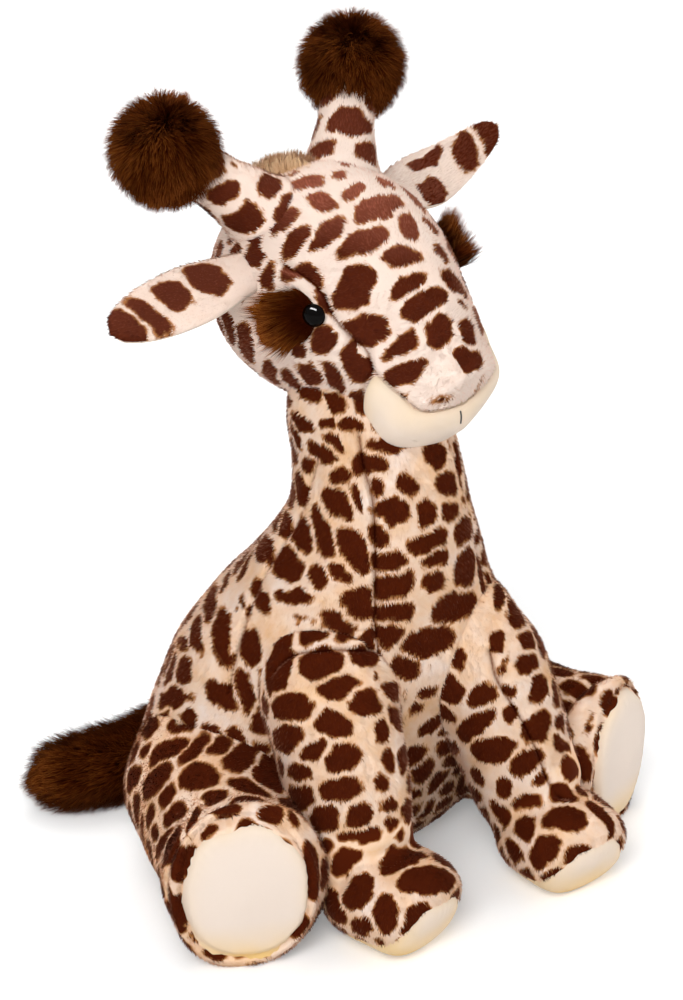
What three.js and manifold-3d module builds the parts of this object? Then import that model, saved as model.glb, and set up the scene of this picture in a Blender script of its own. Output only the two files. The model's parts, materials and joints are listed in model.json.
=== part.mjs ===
// A sitting plush giraffe: covers of printed short-pile plush, sewn together and filled with fibre.
// Millimetres. The toy faces -Y, its left side is +X, and it sits on Z = 0.
import * as THREE from 'three';
import { mergeVertices } from 'three/addons/utils/BufferGeometryUtils.js';
import Module from 'manifold-3d';

const wasm = await Module();
wasm.setup();

// Cloth, clearances and cutters
const plushWall = 3;
const seamGap = 0.3;
const fillingGap = 0.5;
const floorCut = 0.5;
const overrun = 400;

// Body and neck
const bodyHeight = 304.5;
const rumpSetback = 110;
const rumpHalfWidth = 107;
const rumpHalfDepth = 83;
const neckRadius = 43;
const neckOpeningRadius = 30;

// Pellet bag in the seat
const pelletBagRadius = 58;
const pelletBagHeight = 34;

// Head
const headSetback = 98;
const headLift = 330;
const headYaw = 12.5;
const headPitch = 20;
const headRoll = -8;
const headLength = 162;
const crownSetback = 59;
const headHalfWidth = 60;
const headHalfHeight = 63;

// Chin panel, from one corner of the mouth to the other
const mouthCornerReach = 70;
const mouthCornerLift = 3;
const mouthSlope = 29;
const mouthStitchLength = 7;
const mouthStitchRadius = 0.8;

// Horns and pompoms
const hornRootOut = 32;
const hornRootSetback = 31;
const hornRootLift = 39;
const hornTipOut = 68;
const hornTipSetback = 66;
const hornTipLift = 70;
const hornRootRadius = 19;
const hornWall = 2.4;
const pompomRadius = 27;

// Ears
const earRootOut = 56;
const earRootSetback = 11;
const earRootLift = 18;
const earTipOut = 139;
const earTipSetback = 17;
const earTipLift = 24;
const earHalfWidth = 16.5;
const earHalfThickness = 6;
const earTurn = 20;

// Eyes: a domed button on a shank, a washer behind the cloth and a fur patch around it
const eyeRadius = 6.2;
const eyeDomeHeight = 4.4;
const eyeReach = 36;
const eyeLift = 22;
const shankRadius = 2;
const shankLength = 13;
const washerRadius = 7;
const washerThickness = 1.6;
const washerClearance = 0.25;
const patchThickness = 4;
const patchHalfLength = 19;
const patchHalfHeight = 17;
const patchSetback = 9;
const eyeCutLength = 30;

// Mane tuft on the crown
const maneSetback = 44;
const maneLift = 34;
const maneLength = 26;
const maneRadius = 9;
const maneTilt = 42;

// Front legs
const frontLegHeight = 162.5;
const frontLegRadius = 34;
const frontLegTopSetback = 36;
const frontLegReach = 95;
const frontFootHalfWidth = 33;
const frontFootHalfHeight = 25.5;
// The front and hind leg of a side press flat against each other at dividedAt. The front foot turns
// in by footTurn and the hind foot out by hindTurn, in degrees; hindOut and haunch are shares of
// the hind foot's place and of the thigh's height.
const legPlaces = {
  right: {
    side: -1,
    shoulderOut: 52,
    footOut: 54,
    setback: 2,
    footTurn: 14,
    dividedAt: 85,
    hindOut: 1,
    hindTurn: 17,
    haunch: 1,
  },
  left: {
    side: 1,
    shoulderOut: 43,
    footOut: 62,
    setback: -2,
    footTurn: 0,
    dividedAt: 90,
    hindOut: 0.965,
    hindTurn: 10,
    haunch: 0.87,
  },
};
const ankleAlong = 0.5;
const frontSoleHalfWidth = 28;
const frontSoleHalfLength = 29;
const frontSoleTilt = 48;
const frontSoleReach = 33;

// Hind legs
const hindLegLength = 162;
const hipSetback = 150;
const hindFootOut = 133;
const hindLegRadius = 47;
const hindSoleHalfWidth = 32;
const hindSoleHalfHeight = 36;
const hindSoleWrap = 10;
const soleDepth = 26;
const haunchEnds = [0.25, 0.95];

// Tail
const tailLength = 138;
const tailSetback = 180;
const tailRadius = 19;

// Ranges of the seams, in degrees, as far as the sewn cloth gives
const nodRange = [-10, 12];
const hornRange = [-12, 12];
const earRange = [-15, 15];
const frontLegRange = [0, 25];
const hindLegRange = [0, 20];
const tailRange = [0, 25];
const wideSweepSteps = 4;
const sweepRoom = 0.35;

// Fineness of the stuffed forms
const bodySides = 20;
const bodyRings = 15;
const headSides = 18;
const headRings = 13;
const limbSides = 14;
const limbRings = 10;
const smallSides = 10;
const smallRings = 7;
const roundSides = 16;
const capRings = 3;
const skinTolerance = 0.03;

// Stations of the stuffed forms, each a share of the size named in its comment.
// height, setback, rump width, rump depth, neck: of bodyHeight, rumpSetback, rumpHalfWidth,
// rumpHalfDepth, neckRadius
const bodyShares = [
  [0, 1, 0, 0, 0],
  [0.012, 1, 0.71, 0.75, 0],
  [0.094, 1, 0.944, 0.964, 0],
  [0.212, 0.964, 1, 1, 0],
  [0.343, 0.827, 0.915, 0.95, 0],
  [0.481, 0.636, 0.735, 0.785, 0],
  [0.599, 0.518, 0.35, 0.34, 0.6],
  [0.704, 0.482, 0.065, 0.045, 0.97],
  [0.81, 0.527, 0.015, 0, 0.98],
  [0.888, 0.6, 0, 0, 0.97],
  [0.961, 0.673, 0, 0, 0.74],
  [1, 0.709, 0, 0, 0],
];
// along, rise, width, height: of headLength, headHalfHeight, headHalfWidth, headHalfHeight
const headShares = [
  [0, -0.127, 0, 0],
  [0.037, -0.127, 0.533, 0.54],
  [0.191, -0.111, 0.9, 0.905],
  [0.364, -0.063, 1, 1],
  [0.537, -0.063, 0.95, 0.937],
  [0.71, -0.159, 0.783, 0.778],
  [0.846, -0.286, 0.633, 0.603],
  [0.944, -0.397, 0.517, 0.46],
  [1, -0.444, 0, 0],
];
// height, along, outward, girth: of frontLegHeight, frontLegReach, the step from shoulder to foot,
// frontLegRadius
const frontLegShares = [
  [1, 0, 0, 0],
  [0.938, 0.021, 0, 0.647],
  [0.778, 0.105, 0, 1],
  [0.582, 0.253, 0.4, 1],
  [0.385, 0.368, 0.7, 0.93],
  [0.24, 0.46, 0.95, 0.87],
  [0.12, 0.51, 1, 0.62],
  [0.08, 0.53, 1, 0],
];
// along, lift, width, height: of frontLegReach, frontFootHalfHeight, frontFootHalfWidth, frontFootHalfHeight
const frontFootShares = [
  [0.3, 1.08, 0, 0],
  [0.35, 1.08, 0.5, 0.55],
  [0.5, 1.04, 0.9, 1],
  [0.7, 1, 1, 1.03],
  [0.88, 0.96, 0.94, 0.9],
  [0.97, 0.9, 0.68, 0.6],
  [1, 0.86, 0, 0],
];
// along, outward, lift, width, height: of hindLegLength, hindFootOut, then hindLegRadius
const hindLegShares = [
  [0, 0.526, 1.06, 0, 0],
  [0.062, 0.556, 1.02, 0.596, 0.596],
  [0.259, 0.609, 1, 0.979, 1],
  [0.506, 0.707, 1, 1, 1],
  [0.741, 0.827, 0.926, 0.915, 0.926],
  [0.901, 0.932, 0.915, 0.872, 0.915],
  [0.975, 0.985, 0.915, 0.702, 0.766],
  [1, 1, 0.915, 0, 0],
];
// outward, setback, lift, girth: of tailLength, tailLength, tailRadius, tailRadius
const tailShares = [
  [0, 0, 1.58, 0],
  [0.043, 0.014, 1.5, 0.8],
  [0.319, 0.087, 1.2, 1],
  [0.565, 0.072, 1, 1],
  [0.754, 0.087, 1, 1],
  [0.913, 0.138, 0.95, 0.8],
  [1, 0.167, 0.9, 0],
];
// along, girth: of the way from root to tip, hornRootRadius
const hornShares = [[-0.3, 0], [-0.25, 1], [0, 1], [0.35, 0.8], [0.7, 0.7], [0.79, 0.55], [0.82, 0]];
// along, width, thickness: of the way from root to tip, earHalfWidth, earHalfThickness
const earShares = [
  [-0.12, 0, 0],
  [-0.08, 0.6, 0.9],
  [0.08, 0.78, 1],
  [0.38, 1, 1],
  [0.7, 0.9, 0.85],
  [0.93, 0.52, 0.6],
  [1, 0, 0],
];
// height, girth: of pelletBagHeight, pelletBagRadius
const pelletBagShares = [[0, 0], [0.12, 0.8], [0.5, 1], [0.88, 0.7], [1, 0]];
// girth, height: of eyeRadius, eyeDomeHeight
const eyeDomeShares = [[0.96, 0], [1, 0.18], [0.924, 0.494], [0.707, 0.76], [0.383, 0.938], [0, 1]];
const neckOpeningLiftShare = 1.2;
const mouthStitchLiftShare = 0.5;

const degrees = THREE.MathUtils.degToRad;
// A faceted round hole has to be this much wider to clear a round piece
const snug = 1 / Math.cos(Math.PI / roundSides);
const X = new THREE.Vector3(1, 0, 0);
const Y = new THREE.Vector3(0, 1, 0);
const Z = new THREE.Vector3(0, 0, 1);

// A smooth closed form that swells and tapers along a row of stations.
// Each station is [x, y, z, half width along side, half width across it].
function stuffed(stations, side, sides, rings) {
  const path = new THREE.CatmullRomCurve3(
    stations.map(([x, y, z]) => new THREE.Vector3(x, y, z)), false, 'catmullrom', 0.5);
  const girth = new THREE.CatmullRomCurve3(
    stations.map((row) => new THREE.Vector3(row[3], row[4], 0)), false, 'catmullrom', 0.5);
  const form = new THREE.SphereGeometry(1, sides, rings);
  const places = form.attributes.position;
  const uv = form.attributes.uv;
  for (let i = 0; i < places.count; i += 1) {
    const share = Math.round((1 - uv.getY(i)) * rings) / rings;
    const turn = Math.round(uv.getX(i) * sides) % sides * 2 * Math.PI / sides;
    const centre = path.getPoint(share);
    const radii = girth.getPoint(share);
    const ahead = path.getTangent(share);
    const wide = side.clone().addScaledVector(ahead, -side.dot(ahead)).normalize();
    const high = ahead.clone().cross(wide);
    const inside = share > 0 && share < 1 ? 1 : 0;
    centre.addScaledVector(wide, inside * Math.max(radii.x, 0) * Math.cos(turn));
    centre.addScaledVector(high, -inside * Math.max(radii.y, 0) * Math.sin(turn));
    places.setXYZ(i, centre.x, centre.y, centre.z);
  }
  return welded(form);
}

// The same form with its skin moved in (or, with a negative depth, out) along its normals
function shrunk(form, depth) {
  const copy = form.clone();
  copy.computeVertexNormals();
  const places = copy.attributes.position;
  const normals = copy.attributes.normal;
  for (let i = 0; i < places.count; i += 1) {
    places.setXYZ(
      i,
      places.getX(i) - depth * normals.getX(i),
      places.getY(i) - depth * normals.getY(i),
      places.getZ(i) - depth * normals.getZ(i),
    );
  }
  copy.deleteAttribute('normal');
  return copy;
}

function welded(geometry) {
  const copy = geometry.clone();
  copy.deleteAttribute('normal');
  copy.deleteAttribute('uv');
  return mergeVertices(copy);
}

// A closed geometry as a solid that can be joined and cut
function solid(geometry) {
  const closed = welded(geometry);
  const made = new wasm.Manifold(new wasm.Mesh({
    numProp: 3,
    vertProperties: new Float32Array(closed.attributes.position.array),
    triVerts: new Uint32Array(closed.index.array),
  }));
  if (made.volume() > 0) return made;
  const turned = closed.index.array.slice();
  for (let i = 0; i < turned.length; i += 3) [turned[i], turned[i + 1]] = [turned[i + 1], turned[i]];
  return new wasm.Manifold(new wasm.Mesh({
    numProp: 3,
    vertProperties: new Float32Array(closed.attributes.position.array),
    triVerts: new Uint32Array(turned),
  }));
}

function geometryOf(made) {
  const mesh = made.getMesh();
  const geometry = new THREE.BufferGeometry();
  geometry.setAttribute('position', new THREE.BufferAttribute(new Float32Array(mesh.vertProperties), 3));
  geometry.setIndex(new THREE.BufferAttribute(new Uint32Array(mesh.triVerts), 1));
  return geometry;
}

// The largest separate body of a cut solid, without the crumbs and slivers that a cut can leave
function whole(made) {
  const [largest] = made.decompose().sort((a, b) => b.volume() - a.volume());
  return largest.simplify(skinTolerance);
}

function piece(name, made, look) {
  const geometry = geometryOf(whole(made));
  geometry.computeVertexNormals();
  const mesh = new THREE.Mesh(geometry, look);
  mesh.name = name;
  return mesh;
}

// All the places that a neighbour takes, seen from a part that turns about a hinge through its range
function swept(geometry, hinge) {
  let made = solid(geometry);
  const roomier = shrunk(geometry, -sweepRoom);
  const [low, high] = hinge.range;
  const steps = low < 0 ? 1 : wideSweepSteps;
  for (const limit of [low, high]) {
    for (let step = 1; step <= steps; step += 1) {
      const angle = degrees(-limit * step / steps);
      if (angle !== 0) made = made.add(solid(turnedAbout(roomier, hinge, angle)));
    }
  }
  return made;
}

function turnedAbout(geometry, hinge, angle) {
  const turn = new THREE.Matrix4().makeTranslation(hinge.at)
    .multiply(new THREE.Matrix4().makeRotationAxis(hinge.axis, angle))
    .multiply(new THREE.Matrix4().makeTranslation(hinge.at.clone().negate()));
  return geometry.clone().applyMatrix4(turn);
}

function box(wide, deep, high, at, turn = new THREE.Euler()) {
  const placed = new THREE.Matrix4().makeRotationFromEuler(turn).setPosition(at);
  return new THREE.BoxGeometry(wide, deep, high).applyMatrix4(placed);
}

// An oval bar of the given half widths, centred at a point and running along a direction
function ovalBar(halfWide, halfHigh, length, at, along, up) {
  const outline = new THREE.Shape();
  outline.absellipse(0, 0, halfWide, halfHigh, 0, 2 * Math.PI);
  const bar = new THREE.ExtrudeGeometry(
    outline, { depth: length, bevelEnabled: false, curveSegments: roundSides / 2 });
  bar.translate(0, 0, -length / 2);
  const wide = up.clone().cross(along).normalize();
  const high = along.clone().cross(wide);
  const placed = new THREE.Matrix4().makeBasis(wide, high, along.clone().normalize()).setPosition(at);
  return bar.applyMatrix4(placed);
}

// Where a line from inside a form meets its skin, and which way the skin faces there
function skinPoint(form, from, along) {
  const skin = new THREE.Mesh(form, new THREE.MeshBasicMaterial({ side: THREE.DoubleSide }));
  const hit = new THREE.Raycaster(from, along).intersectObject(skin)[0];
  const out = hit.face.normal.clone();
  if (out.dot(along) < 0) out.negate();
  return { at: hit.point, out };
}

// All the room to the outer side, or the inner side, of an upright plane
function outerSide(side, at) {
  const middle = new THREE.Vector3(side * (at + overrun / 2), 0, 0);
  return solid(box(overrun, overrun * 2, overrun * 2, middle));
}

function innerSide(side, at) {
  const middle = new THREE.Vector3(side * (at - overrun / 2), 0, 0);
  return solid(box(overrun, overrun * 2, overrun * 2, middle));
}

const floor = solid(box(overrun * 2, overrun * 2, overrun, new THREE.Vector3(0, 0, -overrun / 2)));

// Looks
function look(colour, roughness) {
  return new THREE.MeshStandardMaterial({ color: colour, roughness, metalness: 0 });
}
const printedPlush = look('#c79a72', 0.95);
const brownFur = look('#3a1a0c', 0.9);
const tanFur = look('#d9ae80', 0.9);
const creamCloth = look('#f0dfcc', 0.85);
const fibre = look('#fbfaf6', 1);
const pellets = look('#b9c4c9', 0.6);
const gloss = look('#0b0807', 0.08);
const blackThread = look('#17110e', 0.8);
const washerPlastic = look('#e9e6df', 0.45);

const giraffe = new THREE.Group();
const head = new THREE.Group();
head.position.set(0, headSetback, headLift);
head.rotation.set(degrees(headPitch), degrees(headRoll), degrees(headYaw), 'ZXY');
head.updateMatrix();
giraffe.add(head);
const toHead = head.matrix.clone().invert();

// Body and neck
const bodyForm = stuffed(
  bodyShares.map(([height, setback, wide, deep, neck]) => [
    0,
    setback * rumpSetback,
    height * bodyHeight - floorCut,
    wide * rumpHalfWidth + neck * neckRadius,
    deep * rumpHalfDepth + neck * neckRadius,
  ]),
  X, bodySides, bodyRings);
const neckEnd = bodyShares.at(-3);
const neckPivot = new THREE.Vector3(0, neckEnd[1] * rumpSetback, neckEnd[0] * bodyHeight - floorCut);
const nod = { at: neckPivot, axis: X, range: nodRange };
const neckOpening = ovalBar(
  neckOpeningRadius, neckOpeningRadius, neckRadius * 2,
  neckPivot.clone().addScaledVector(Z, neckRadius * neckOpeningLiftShare), Z, Y);
const seatMiddle = new THREE.Vector3(0, rumpSetback, 0);
const pelletBag = stuffed(
  pelletBagShares.map(([height, girth]) => [
    0,
    rumpSetback,
    height * pelletBagHeight + plushWall + fillingGap,
    girth * pelletBagRadius,
    girth * pelletBagRadius,
  ]),
  X, limbSides, smallRings);
const bodyCover = solid(bodyForm)
  .subtract(solid(shrunk(bodyForm, plushWall)))
  .subtract(solid(neckOpening))
  .subtract(floor);
const bagRoomRadius = pelletBagRadius * snug + fillingGap;
const bagRoomTop = plushWall + pelletBagHeight + fillingGap * 2;
const bagRoom = ovalBar(bagRoomRadius, bagRoomRadius, bagRoomTop * 2, seatMiddle, Z, Y);
const bodyFilling = solid(shrunk(bodyForm, plushWall + fillingGap)).subtract(solid(bagRoom));
giraffe.add(piece('body_cover', bodyCover, printedPlush));
giraffe.add(piece('body_filling', bodyFilling, fibre));
giraffe.add(piece('pellet_bag', solid(pelletBag).subtract(floor), pellets));

// Head, cut to sit on the round end of the neck and to nod on it
const headForm = stuffed(
  headShares.map(([along, rise, wide, high]) => [
    0,
    crownSetback - along * headLength,
    rise * headHalfHeight,
    wide * headHalfWidth,
    high * headHalfHeight,
  ]),
  X, headSides, headRings);
function neckRoom(gap) {
  return solid(geometryOf(swept(shrunk(bodyForm, -gap), nod)).applyMatrix4(toHead));
}
const headShell = solid(headForm).subtract(solid(shrunk(headForm, plushWall))).subtract(neckRoom(seamGap));

// Chin panel: the lower front of the head's skin, below the line of the lips
const chinTurn = new THREE.Euler(degrees(mouthSlope), 0, 0);
const lipLine = new THREE.Vector3(0, -mouthCornerReach, mouthCornerLift);
function chinBlock(grow) {
  const down = new THREE.Vector3(0, 0, -1).applyEuler(chinTurn);
  const ahead = new THREE.Vector3(0, -1, 0).applyEuler(chinTurn);
  const middle = lipLine.clone()
    .addScaledVector(down, overrun / 2 - grow)
    .addScaledVector(ahead, overrun / 4);
  const back = new THREE.Vector3(0, -overrun / 2 - mouthCornerReach + grow, 0);
  return solid(box(overrun, overrun, overrun, middle, chinTurn))
    .intersect(solid(box(overrun, overrun, overrun, back)));
}

// Horns on the crown, each with a pompom over its end
const horns = [-1, 1].map((side) => {
  const word = side < 0 ? 'right' : 'left';
  const root = new THREE.Vector3(side * hornRootOut, hornRootSetback, hornRootLift);
  const tip = new THREE.Vector3(side * hornTipOut, hornTipSetback, hornTipLift);
  const form = stuffed(
    hornShares.map(([along, girth]) => {
      const at = root.clone().lerp(tip, along);
      return [at.x, at.y, at.z, girth * hornRootRadius, girth * hornRootRadius];
    }),
    Z, smallSides, smallRings);
  return { word, side, form, tip, hinge: { at: root, axis: X, range: hornRange } };
});
for (const { word, form, tip, hinge } of horns) {
  const room = swept(shrunk(headForm, -seamGap), hinge);
  const stem = solid(form).subtract(solid(shrunk(form, hornWall))).subtract(room);
  const filling = solid(shrunk(form, hornWall + seamGap)).subtract(room);
  const ball = new THREE.SphereGeometry(pompomRadius, limbSides, limbRings).translate(tip.x, tip.y, tip.z);
  head.add(piece(`horn_stem_${word}`, stem, printedPlush));
  head.add(piece(`horn_filling_${word}`, filling, fibre));
  head.add(piece(`horn_pompom_${word}`, solid(ball).subtract(solid(shrunk(form, -seamGap))), brownFur));
}

// Ears: a printed back above and a smooth lining below, sewn round the edge
for (const side of [-1, 1]) {
  const word = side < 0 ? 'right' : 'left';
  const root = new THREE.Vector3(side * earRootOut, earRootSetback, earRootLift);
  const tip = new THREE.Vector3(side * earTipOut, earTipSetback, earTipLift);
  const along = tip.clone().sub(root).normalize();
  const wide = Y.clone().applyAxisAngle(X, degrees(earTurn));
  const form = stuffed(
    earShares.map(([share, width, thick]) => {
      const at = root.clone().lerp(tip, share);
      return [at.x, at.y, at.z, width * earHalfWidth, thick * earHalfThickness];
    }),
    wide, smallSides, smallRings);
  const face = wide.clone().addScaledVector(along, -wide.dot(along)).normalize().cross(along).normalize();
  if (face.z < 0) face.negate();
  const flip = new THREE.Quaternion().setFromUnitVectors(Z, face);
  const above = (gap) => solid(new THREE.BoxGeometry(overrun, overrun, overrun)
    .translate(0, 0, overrun / 2 - gap)
    .applyQuaternion(flip)
    .translate(root.x, root.y, root.z));
  const room = swept(shrunk(headForm, -seamGap), { at: root, axis: wide, range: earRange });
  head.add(piece(`ear_back_${word}`, solid(form).intersect(above(0)).subtract(room), printedPlush));
  head.add(piece(`ear_lining_${word}`, solid(form).subtract(above(seamGap)).subtract(room), creamCloth));
}

// Eyes, their washers and the fur patches round them
let headSkin = headShell;
let headFilling = solid(shrunk(headForm, plushWall + fillingGap)).subtract(neckRoom(fillingGap));
for (const side of [-1, 1]) {
  const word = side < 0 ? 'right' : 'left';
  const inside = new THREE.Vector3(0, -eyeReach, eyeLift);
  const { at, out } = skinPoint(headForm, inside, X.clone().multiplyScalar(side));
  const upright = new THREE.Quaternion().setFromUnitVectors(Y, out);
  const turned = (outline, seat) => new THREE.LatheGeometry(outline, roundSides)
    .applyQuaternion(upright)
    .translate(seat.x, seat.y, seat.z);
  const eye = turned([
    new THREE.Vector2(0, -shankLength),
    new THREE.Vector2(shankRadius, -shankLength),
    new THREE.Vector2(shankRadius, 0),
    ...eyeDomeShares.map(([girth, height]) => new THREE.Vector2(girth * eyeRadius, height * eyeDomeHeight)),
  ], at.clone().addScaledVector(out, seamGap));
  const washerBow = washerRadius ** 2 / headHalfWidth;
  const ring = turned([
    new THREE.Vector2(shankRadius + washerClearance, -washerThickness),
    new THREE.Vector2(washerRadius, -washerThickness),
    new THREE.Vector2(washerRadius, 0),
    new THREE.Vector2(shankRadius + washerClearance, 0),
    new THREE.Vector2(shankRadius + washerClearance, -washerThickness),
  ], at.clone().addScaledVector(out, -(plushWall + seamGap + washerBow)));
  const round = (radius, length) => solid(ovalBar(radius, radius, length, at, out, Z));
  const shankHole = round(shankRadius + seamGap, eyeCutLength);
  const washerRoom = round(washerRadius + fillingGap, (shankLength + fillingGap) * 2);
  const patchAt = at.clone().addScaledVector(Y, patchSetback);
  const patch = solid(shrunk(headForm, -(seamGap + patchThickness)))
    .subtract(solid(shrunk(headForm, -seamGap)))
    .intersect(solid(ovalBar(patchHalfLength, patchHalfHeight, eyeCutLength, patchAt, out, Z)))
    .subtract(round(eyeRadius + seamGap, eyeCutLength));
  head.add(piece(`eye_${word}`, solid(eye), gloss));
  head.add(piece(`eye_washer_${word}`, solid(ring), washerPlastic));
  head.add(piece(`eye_fur_patch_${word}`, patch, brownFur));
  headSkin = headSkin.subtract(shankHole);
  headFilling = headFilling.subtract(washerRoom);
}
head.add(piece('head_cover', headSkin.subtract(chinBlock(seamGap)), printedPlush));
head.add(piece('chin_panel', headShell.intersect(chinBlock(0)), creamCloth));
head.add(piece('head_filling', headFilling, fibre));

// Mouth stitch, a short upright thread at the front of the chin
const stitchAt = new THREE.Vector3(
  0,
  crownSetback - headLength - mouthStitchRadius - seamGap,
  headShares.at(-1)[1] * headHalfHeight + mouthStitchLiftShare * mouthStitchLength);
const stitch = new THREE.CapsuleGeometry(mouthStitchRadius, mouthStitchLength, capRings, smallSides)
  .applyQuaternion(new THREE.Quaternion().setFromUnitVectors(Y, Z))
  .translate(stitchAt.x, stitchAt.y, stitchAt.z);
head.add(piece('mouth_stitch', solid(stitch), blackThread));

// Mane tuft along the middle of the crown
const maneAlong = new THREE.Vector3(0, -1, 0).applyAxisAngle(X, degrees(-maneTilt));
const mane = new THREE.CapsuleGeometry(maneRadius, maneLength, capRings, smallSides)
  .applyQuaternion(new THREE.Quaternion().setFromUnitVectors(Y, maneAlong))
  .translate(0, maneSetback, maneLift);
head.add(piece('mane_tuft', solid(mane).subtract(solid(shrunk(headForm, -seamGap))), tanFur));

// Front legs, hinged where their tops are sewn to the chest
for (const [word, place] of Object.entries(legPlaces)) {
  const leg = stuffed(
    frontLegShares.map(([tall, along, outward, girth]) => [
      place.side * THREE.MathUtils.lerp(place.shoulderOut, place.footOut, outward),
      frontLegTopSetback - along * frontLegReach + place.setback,
      tall * frontLegHeight - floorCut,
      girth * frontLegRadius,
      girth * frontLegRadius,
    ]),
    X, limbSides, limbRings);
  const turn = Math.tan(degrees(place.footTurn));
  const footAt = (along) => place.side * (
    place.footOut - turn * Math.max(along - ankleAlong, 0) * frontLegReach);
  const foot = stuffed(
    frontFootShares.map(([along, lift, wide, high]) => [
      footAt(along),
      frontLegTopSetback - along * frontLegReach + place.setback,
      lift * frontFootHalfHeight - floorCut,
      wide * frontFootHalfWidth,
      high * frontFootHalfHeight,
    ]),
    X, limbSides, smallRings);
  const top = new THREE.Vector3(
    place.side * place.shoulderOut, frontLegTopSetback + place.setback, frontLegHeight - floorCut);
  const hinge = { at: top, axis: X, range: frontLegRange.map((angle) => -angle) };
  const beside = outerSide(place.side, place.dividedAt - seamGap);
  const stocking = (depth) => solid(shrunk(leg, depth)).add(solid(shrunk(foot, depth)));
  const soleAxis = new THREE.Vector3(0, -1, 0)
    .applyAxisAngle(X, degrees(frontSoleTilt))
    .applyAxisAngle(Z, degrees(-place.side * place.footTurn));
  const soleAt = new THREE.Vector3(
    footAt(1 - frontSoleReach / frontLegReach),
    frontLegTopSetback - frontLegReach + place.setback + frontSoleReach,
    frontFootHalfHeight);
  const bar = (grow) => solid(ovalBar(
    frontSoleHalfWidth + grow, frontSoleHalfLength + grow, soleDepth * 2,
    soleAt.clone().addScaledVector(soleAxis, soleDepth), soleAxis, Z));
  const shell = stocking(0)
    .subtract(stocking(plushWall))
    .subtract(swept(shrunk(bodyForm, -seamGap), hinge))
    .subtract(beside)
    .subtract(floor);
  const filling = stocking(plushWall + fillingGap)
    .subtract(swept(shrunk(bodyForm, -fillingGap), hinge))
    .subtract(beside);
  giraffe.add(piece(`front_leg_${word}`, shell.subtract(bar(seamGap)), printedPlush));
  giraffe.add(piece(`front_leg_filling_${word}`, filling, fibre));
  giraffe.add(piece(`front_sole_${word}`, shell.intersect(bar(0)), creamCloth));
}

// Hind legs, lying forward from the hips with their soles to the front
for (const [word, { side, dividedAt, hindOut, hindTurn, haunch }] of Object.entries(legPlaces)) {
  const form = stuffed(
    hindLegShares.map(([along, outward, lift, wide, high]) => {
      const tall = hindLegRadius * THREE.MathUtils.lerp(
        haunch, 1, THREE.MathUtils.smoothstep(along, ...haunchEnds));
      return [
        side * outward * hindOut * hindFootOut,
        hipSetback - along * hindLegLength,
        lift * tall - floorCut,
        wide * hindLegRadius,
        high * tall,
      ];
    }),
    X, limbSides, limbRings);
  const hip = new THREE.Vector3(side * hindLegShares[2][1] * hindFootOut, hipSetback, hindLegRadius * 2);
  const hinge = { at: hip, axis: X, range: hindLegRange.map((angle) => -angle) };
  const between = innerSide(side, dividedAt);
  const soleAxis = new THREE.Vector3(0, -1, 0).applyAxisAngle(Z, degrees(side * hindTurn));
  const last = hindLegShares.at(-2);
  const soleAt = new THREE.Vector3(
    side * last[1] * hindOut * hindFootOut,
    hipSetback - last[0] * hindLegLength,
    last[2] * hindLegRadius - floorCut);
  const bar = (grow) => solid(ovalBar(
    hindSoleHalfWidth + grow, hindSoleHalfHeight + grow, soleDepth * 2,
    soleAt.clone().addScaledVector(soleAxis, soleDepth - hindSoleWrap), soleAxis, Z));
  const shell = solid(form)
    .subtract(solid(shrunk(form, plushWall)))
    .subtract(swept(shrunk(bodyForm, -seamGap), hinge))
    .subtract(between)
    .subtract(floor);
  const filling = solid(shrunk(form, plushWall + fillingGap))
    .subtract(swept(shrunk(bodyForm, -fillingGap), hinge))
    .subtract(between);
  giraffe.add(piece(`hind_leg_${word}`, shell.subtract(bar(seamGap)), printedPlush));
  giraffe.add(piece(`hind_leg_filling_${word}`, filling, fibre));
  giraffe.add(piece(`hind_sole_${word}`, shell.intersect(bar(0)), creamCloth));
}

// Tail, lying round to the right of the seat
const tailForm = stuffed(
  tailShares.map(([outward, setback, lift, girth]) => [
    -outward * tailLength,
    tailSetback + setback * tailLength,
    lift * tailRadius - floorCut,
    girth * tailRadius,
    girth * tailRadius,
  ]),
  Z, smallSides, limbRings);
const tailRoot = new THREE.Vector3(
  -tailShares[1][0] * tailLength, tailSetback + tailShares[1][1] * tailLength, tailRadius * 2);
const tailHinge = { at: tailRoot, axis: Y, range: tailRange };
const tailSkin = solid(tailForm)
  .subtract(solid(shrunk(tailForm, plushWall)))
  .subtract(swept(shrunk(bodyForm, -seamGap), tailHinge))
  .subtract(floor);
const tailFilling = solid(shrunk(tailForm, plushWall + fillingGap))
  .subtract(swept(shrunk(bodyForm, -fillingGap), tailHinge));
giraffe.add(piece('tail_cover', tailSkin, brownFur));
giraffe.add(piece('tail_filling', tailFilling, fibre));

// The origin is at the middle of the footprint, on the floor
giraffe.updateMatrixWorld(true);
const reach = new THREE.Box3().setFromObject(giraffe, true);
giraffe.position.set(-(reach.min.x + reach.max.x) / 2, -(reach.min.y + reach.max.y) / 2, -reach.min.z);
giraffe.updateMatrixWorld(true);

export default giraffe;
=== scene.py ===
"""A sitting plush giraffe: printed short-pile covers, long-fur trims and smooth soles,
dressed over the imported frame. Tables are in millimetres, measured from the floor and
from the middle of the neck seam's plane, as the covers were cut."""
import json
import math

import bmesh
import bpy
import numpy as np
from mathutils import Matrix, Vector, noise
from mathutils.bvhtree import BVHTree


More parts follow.
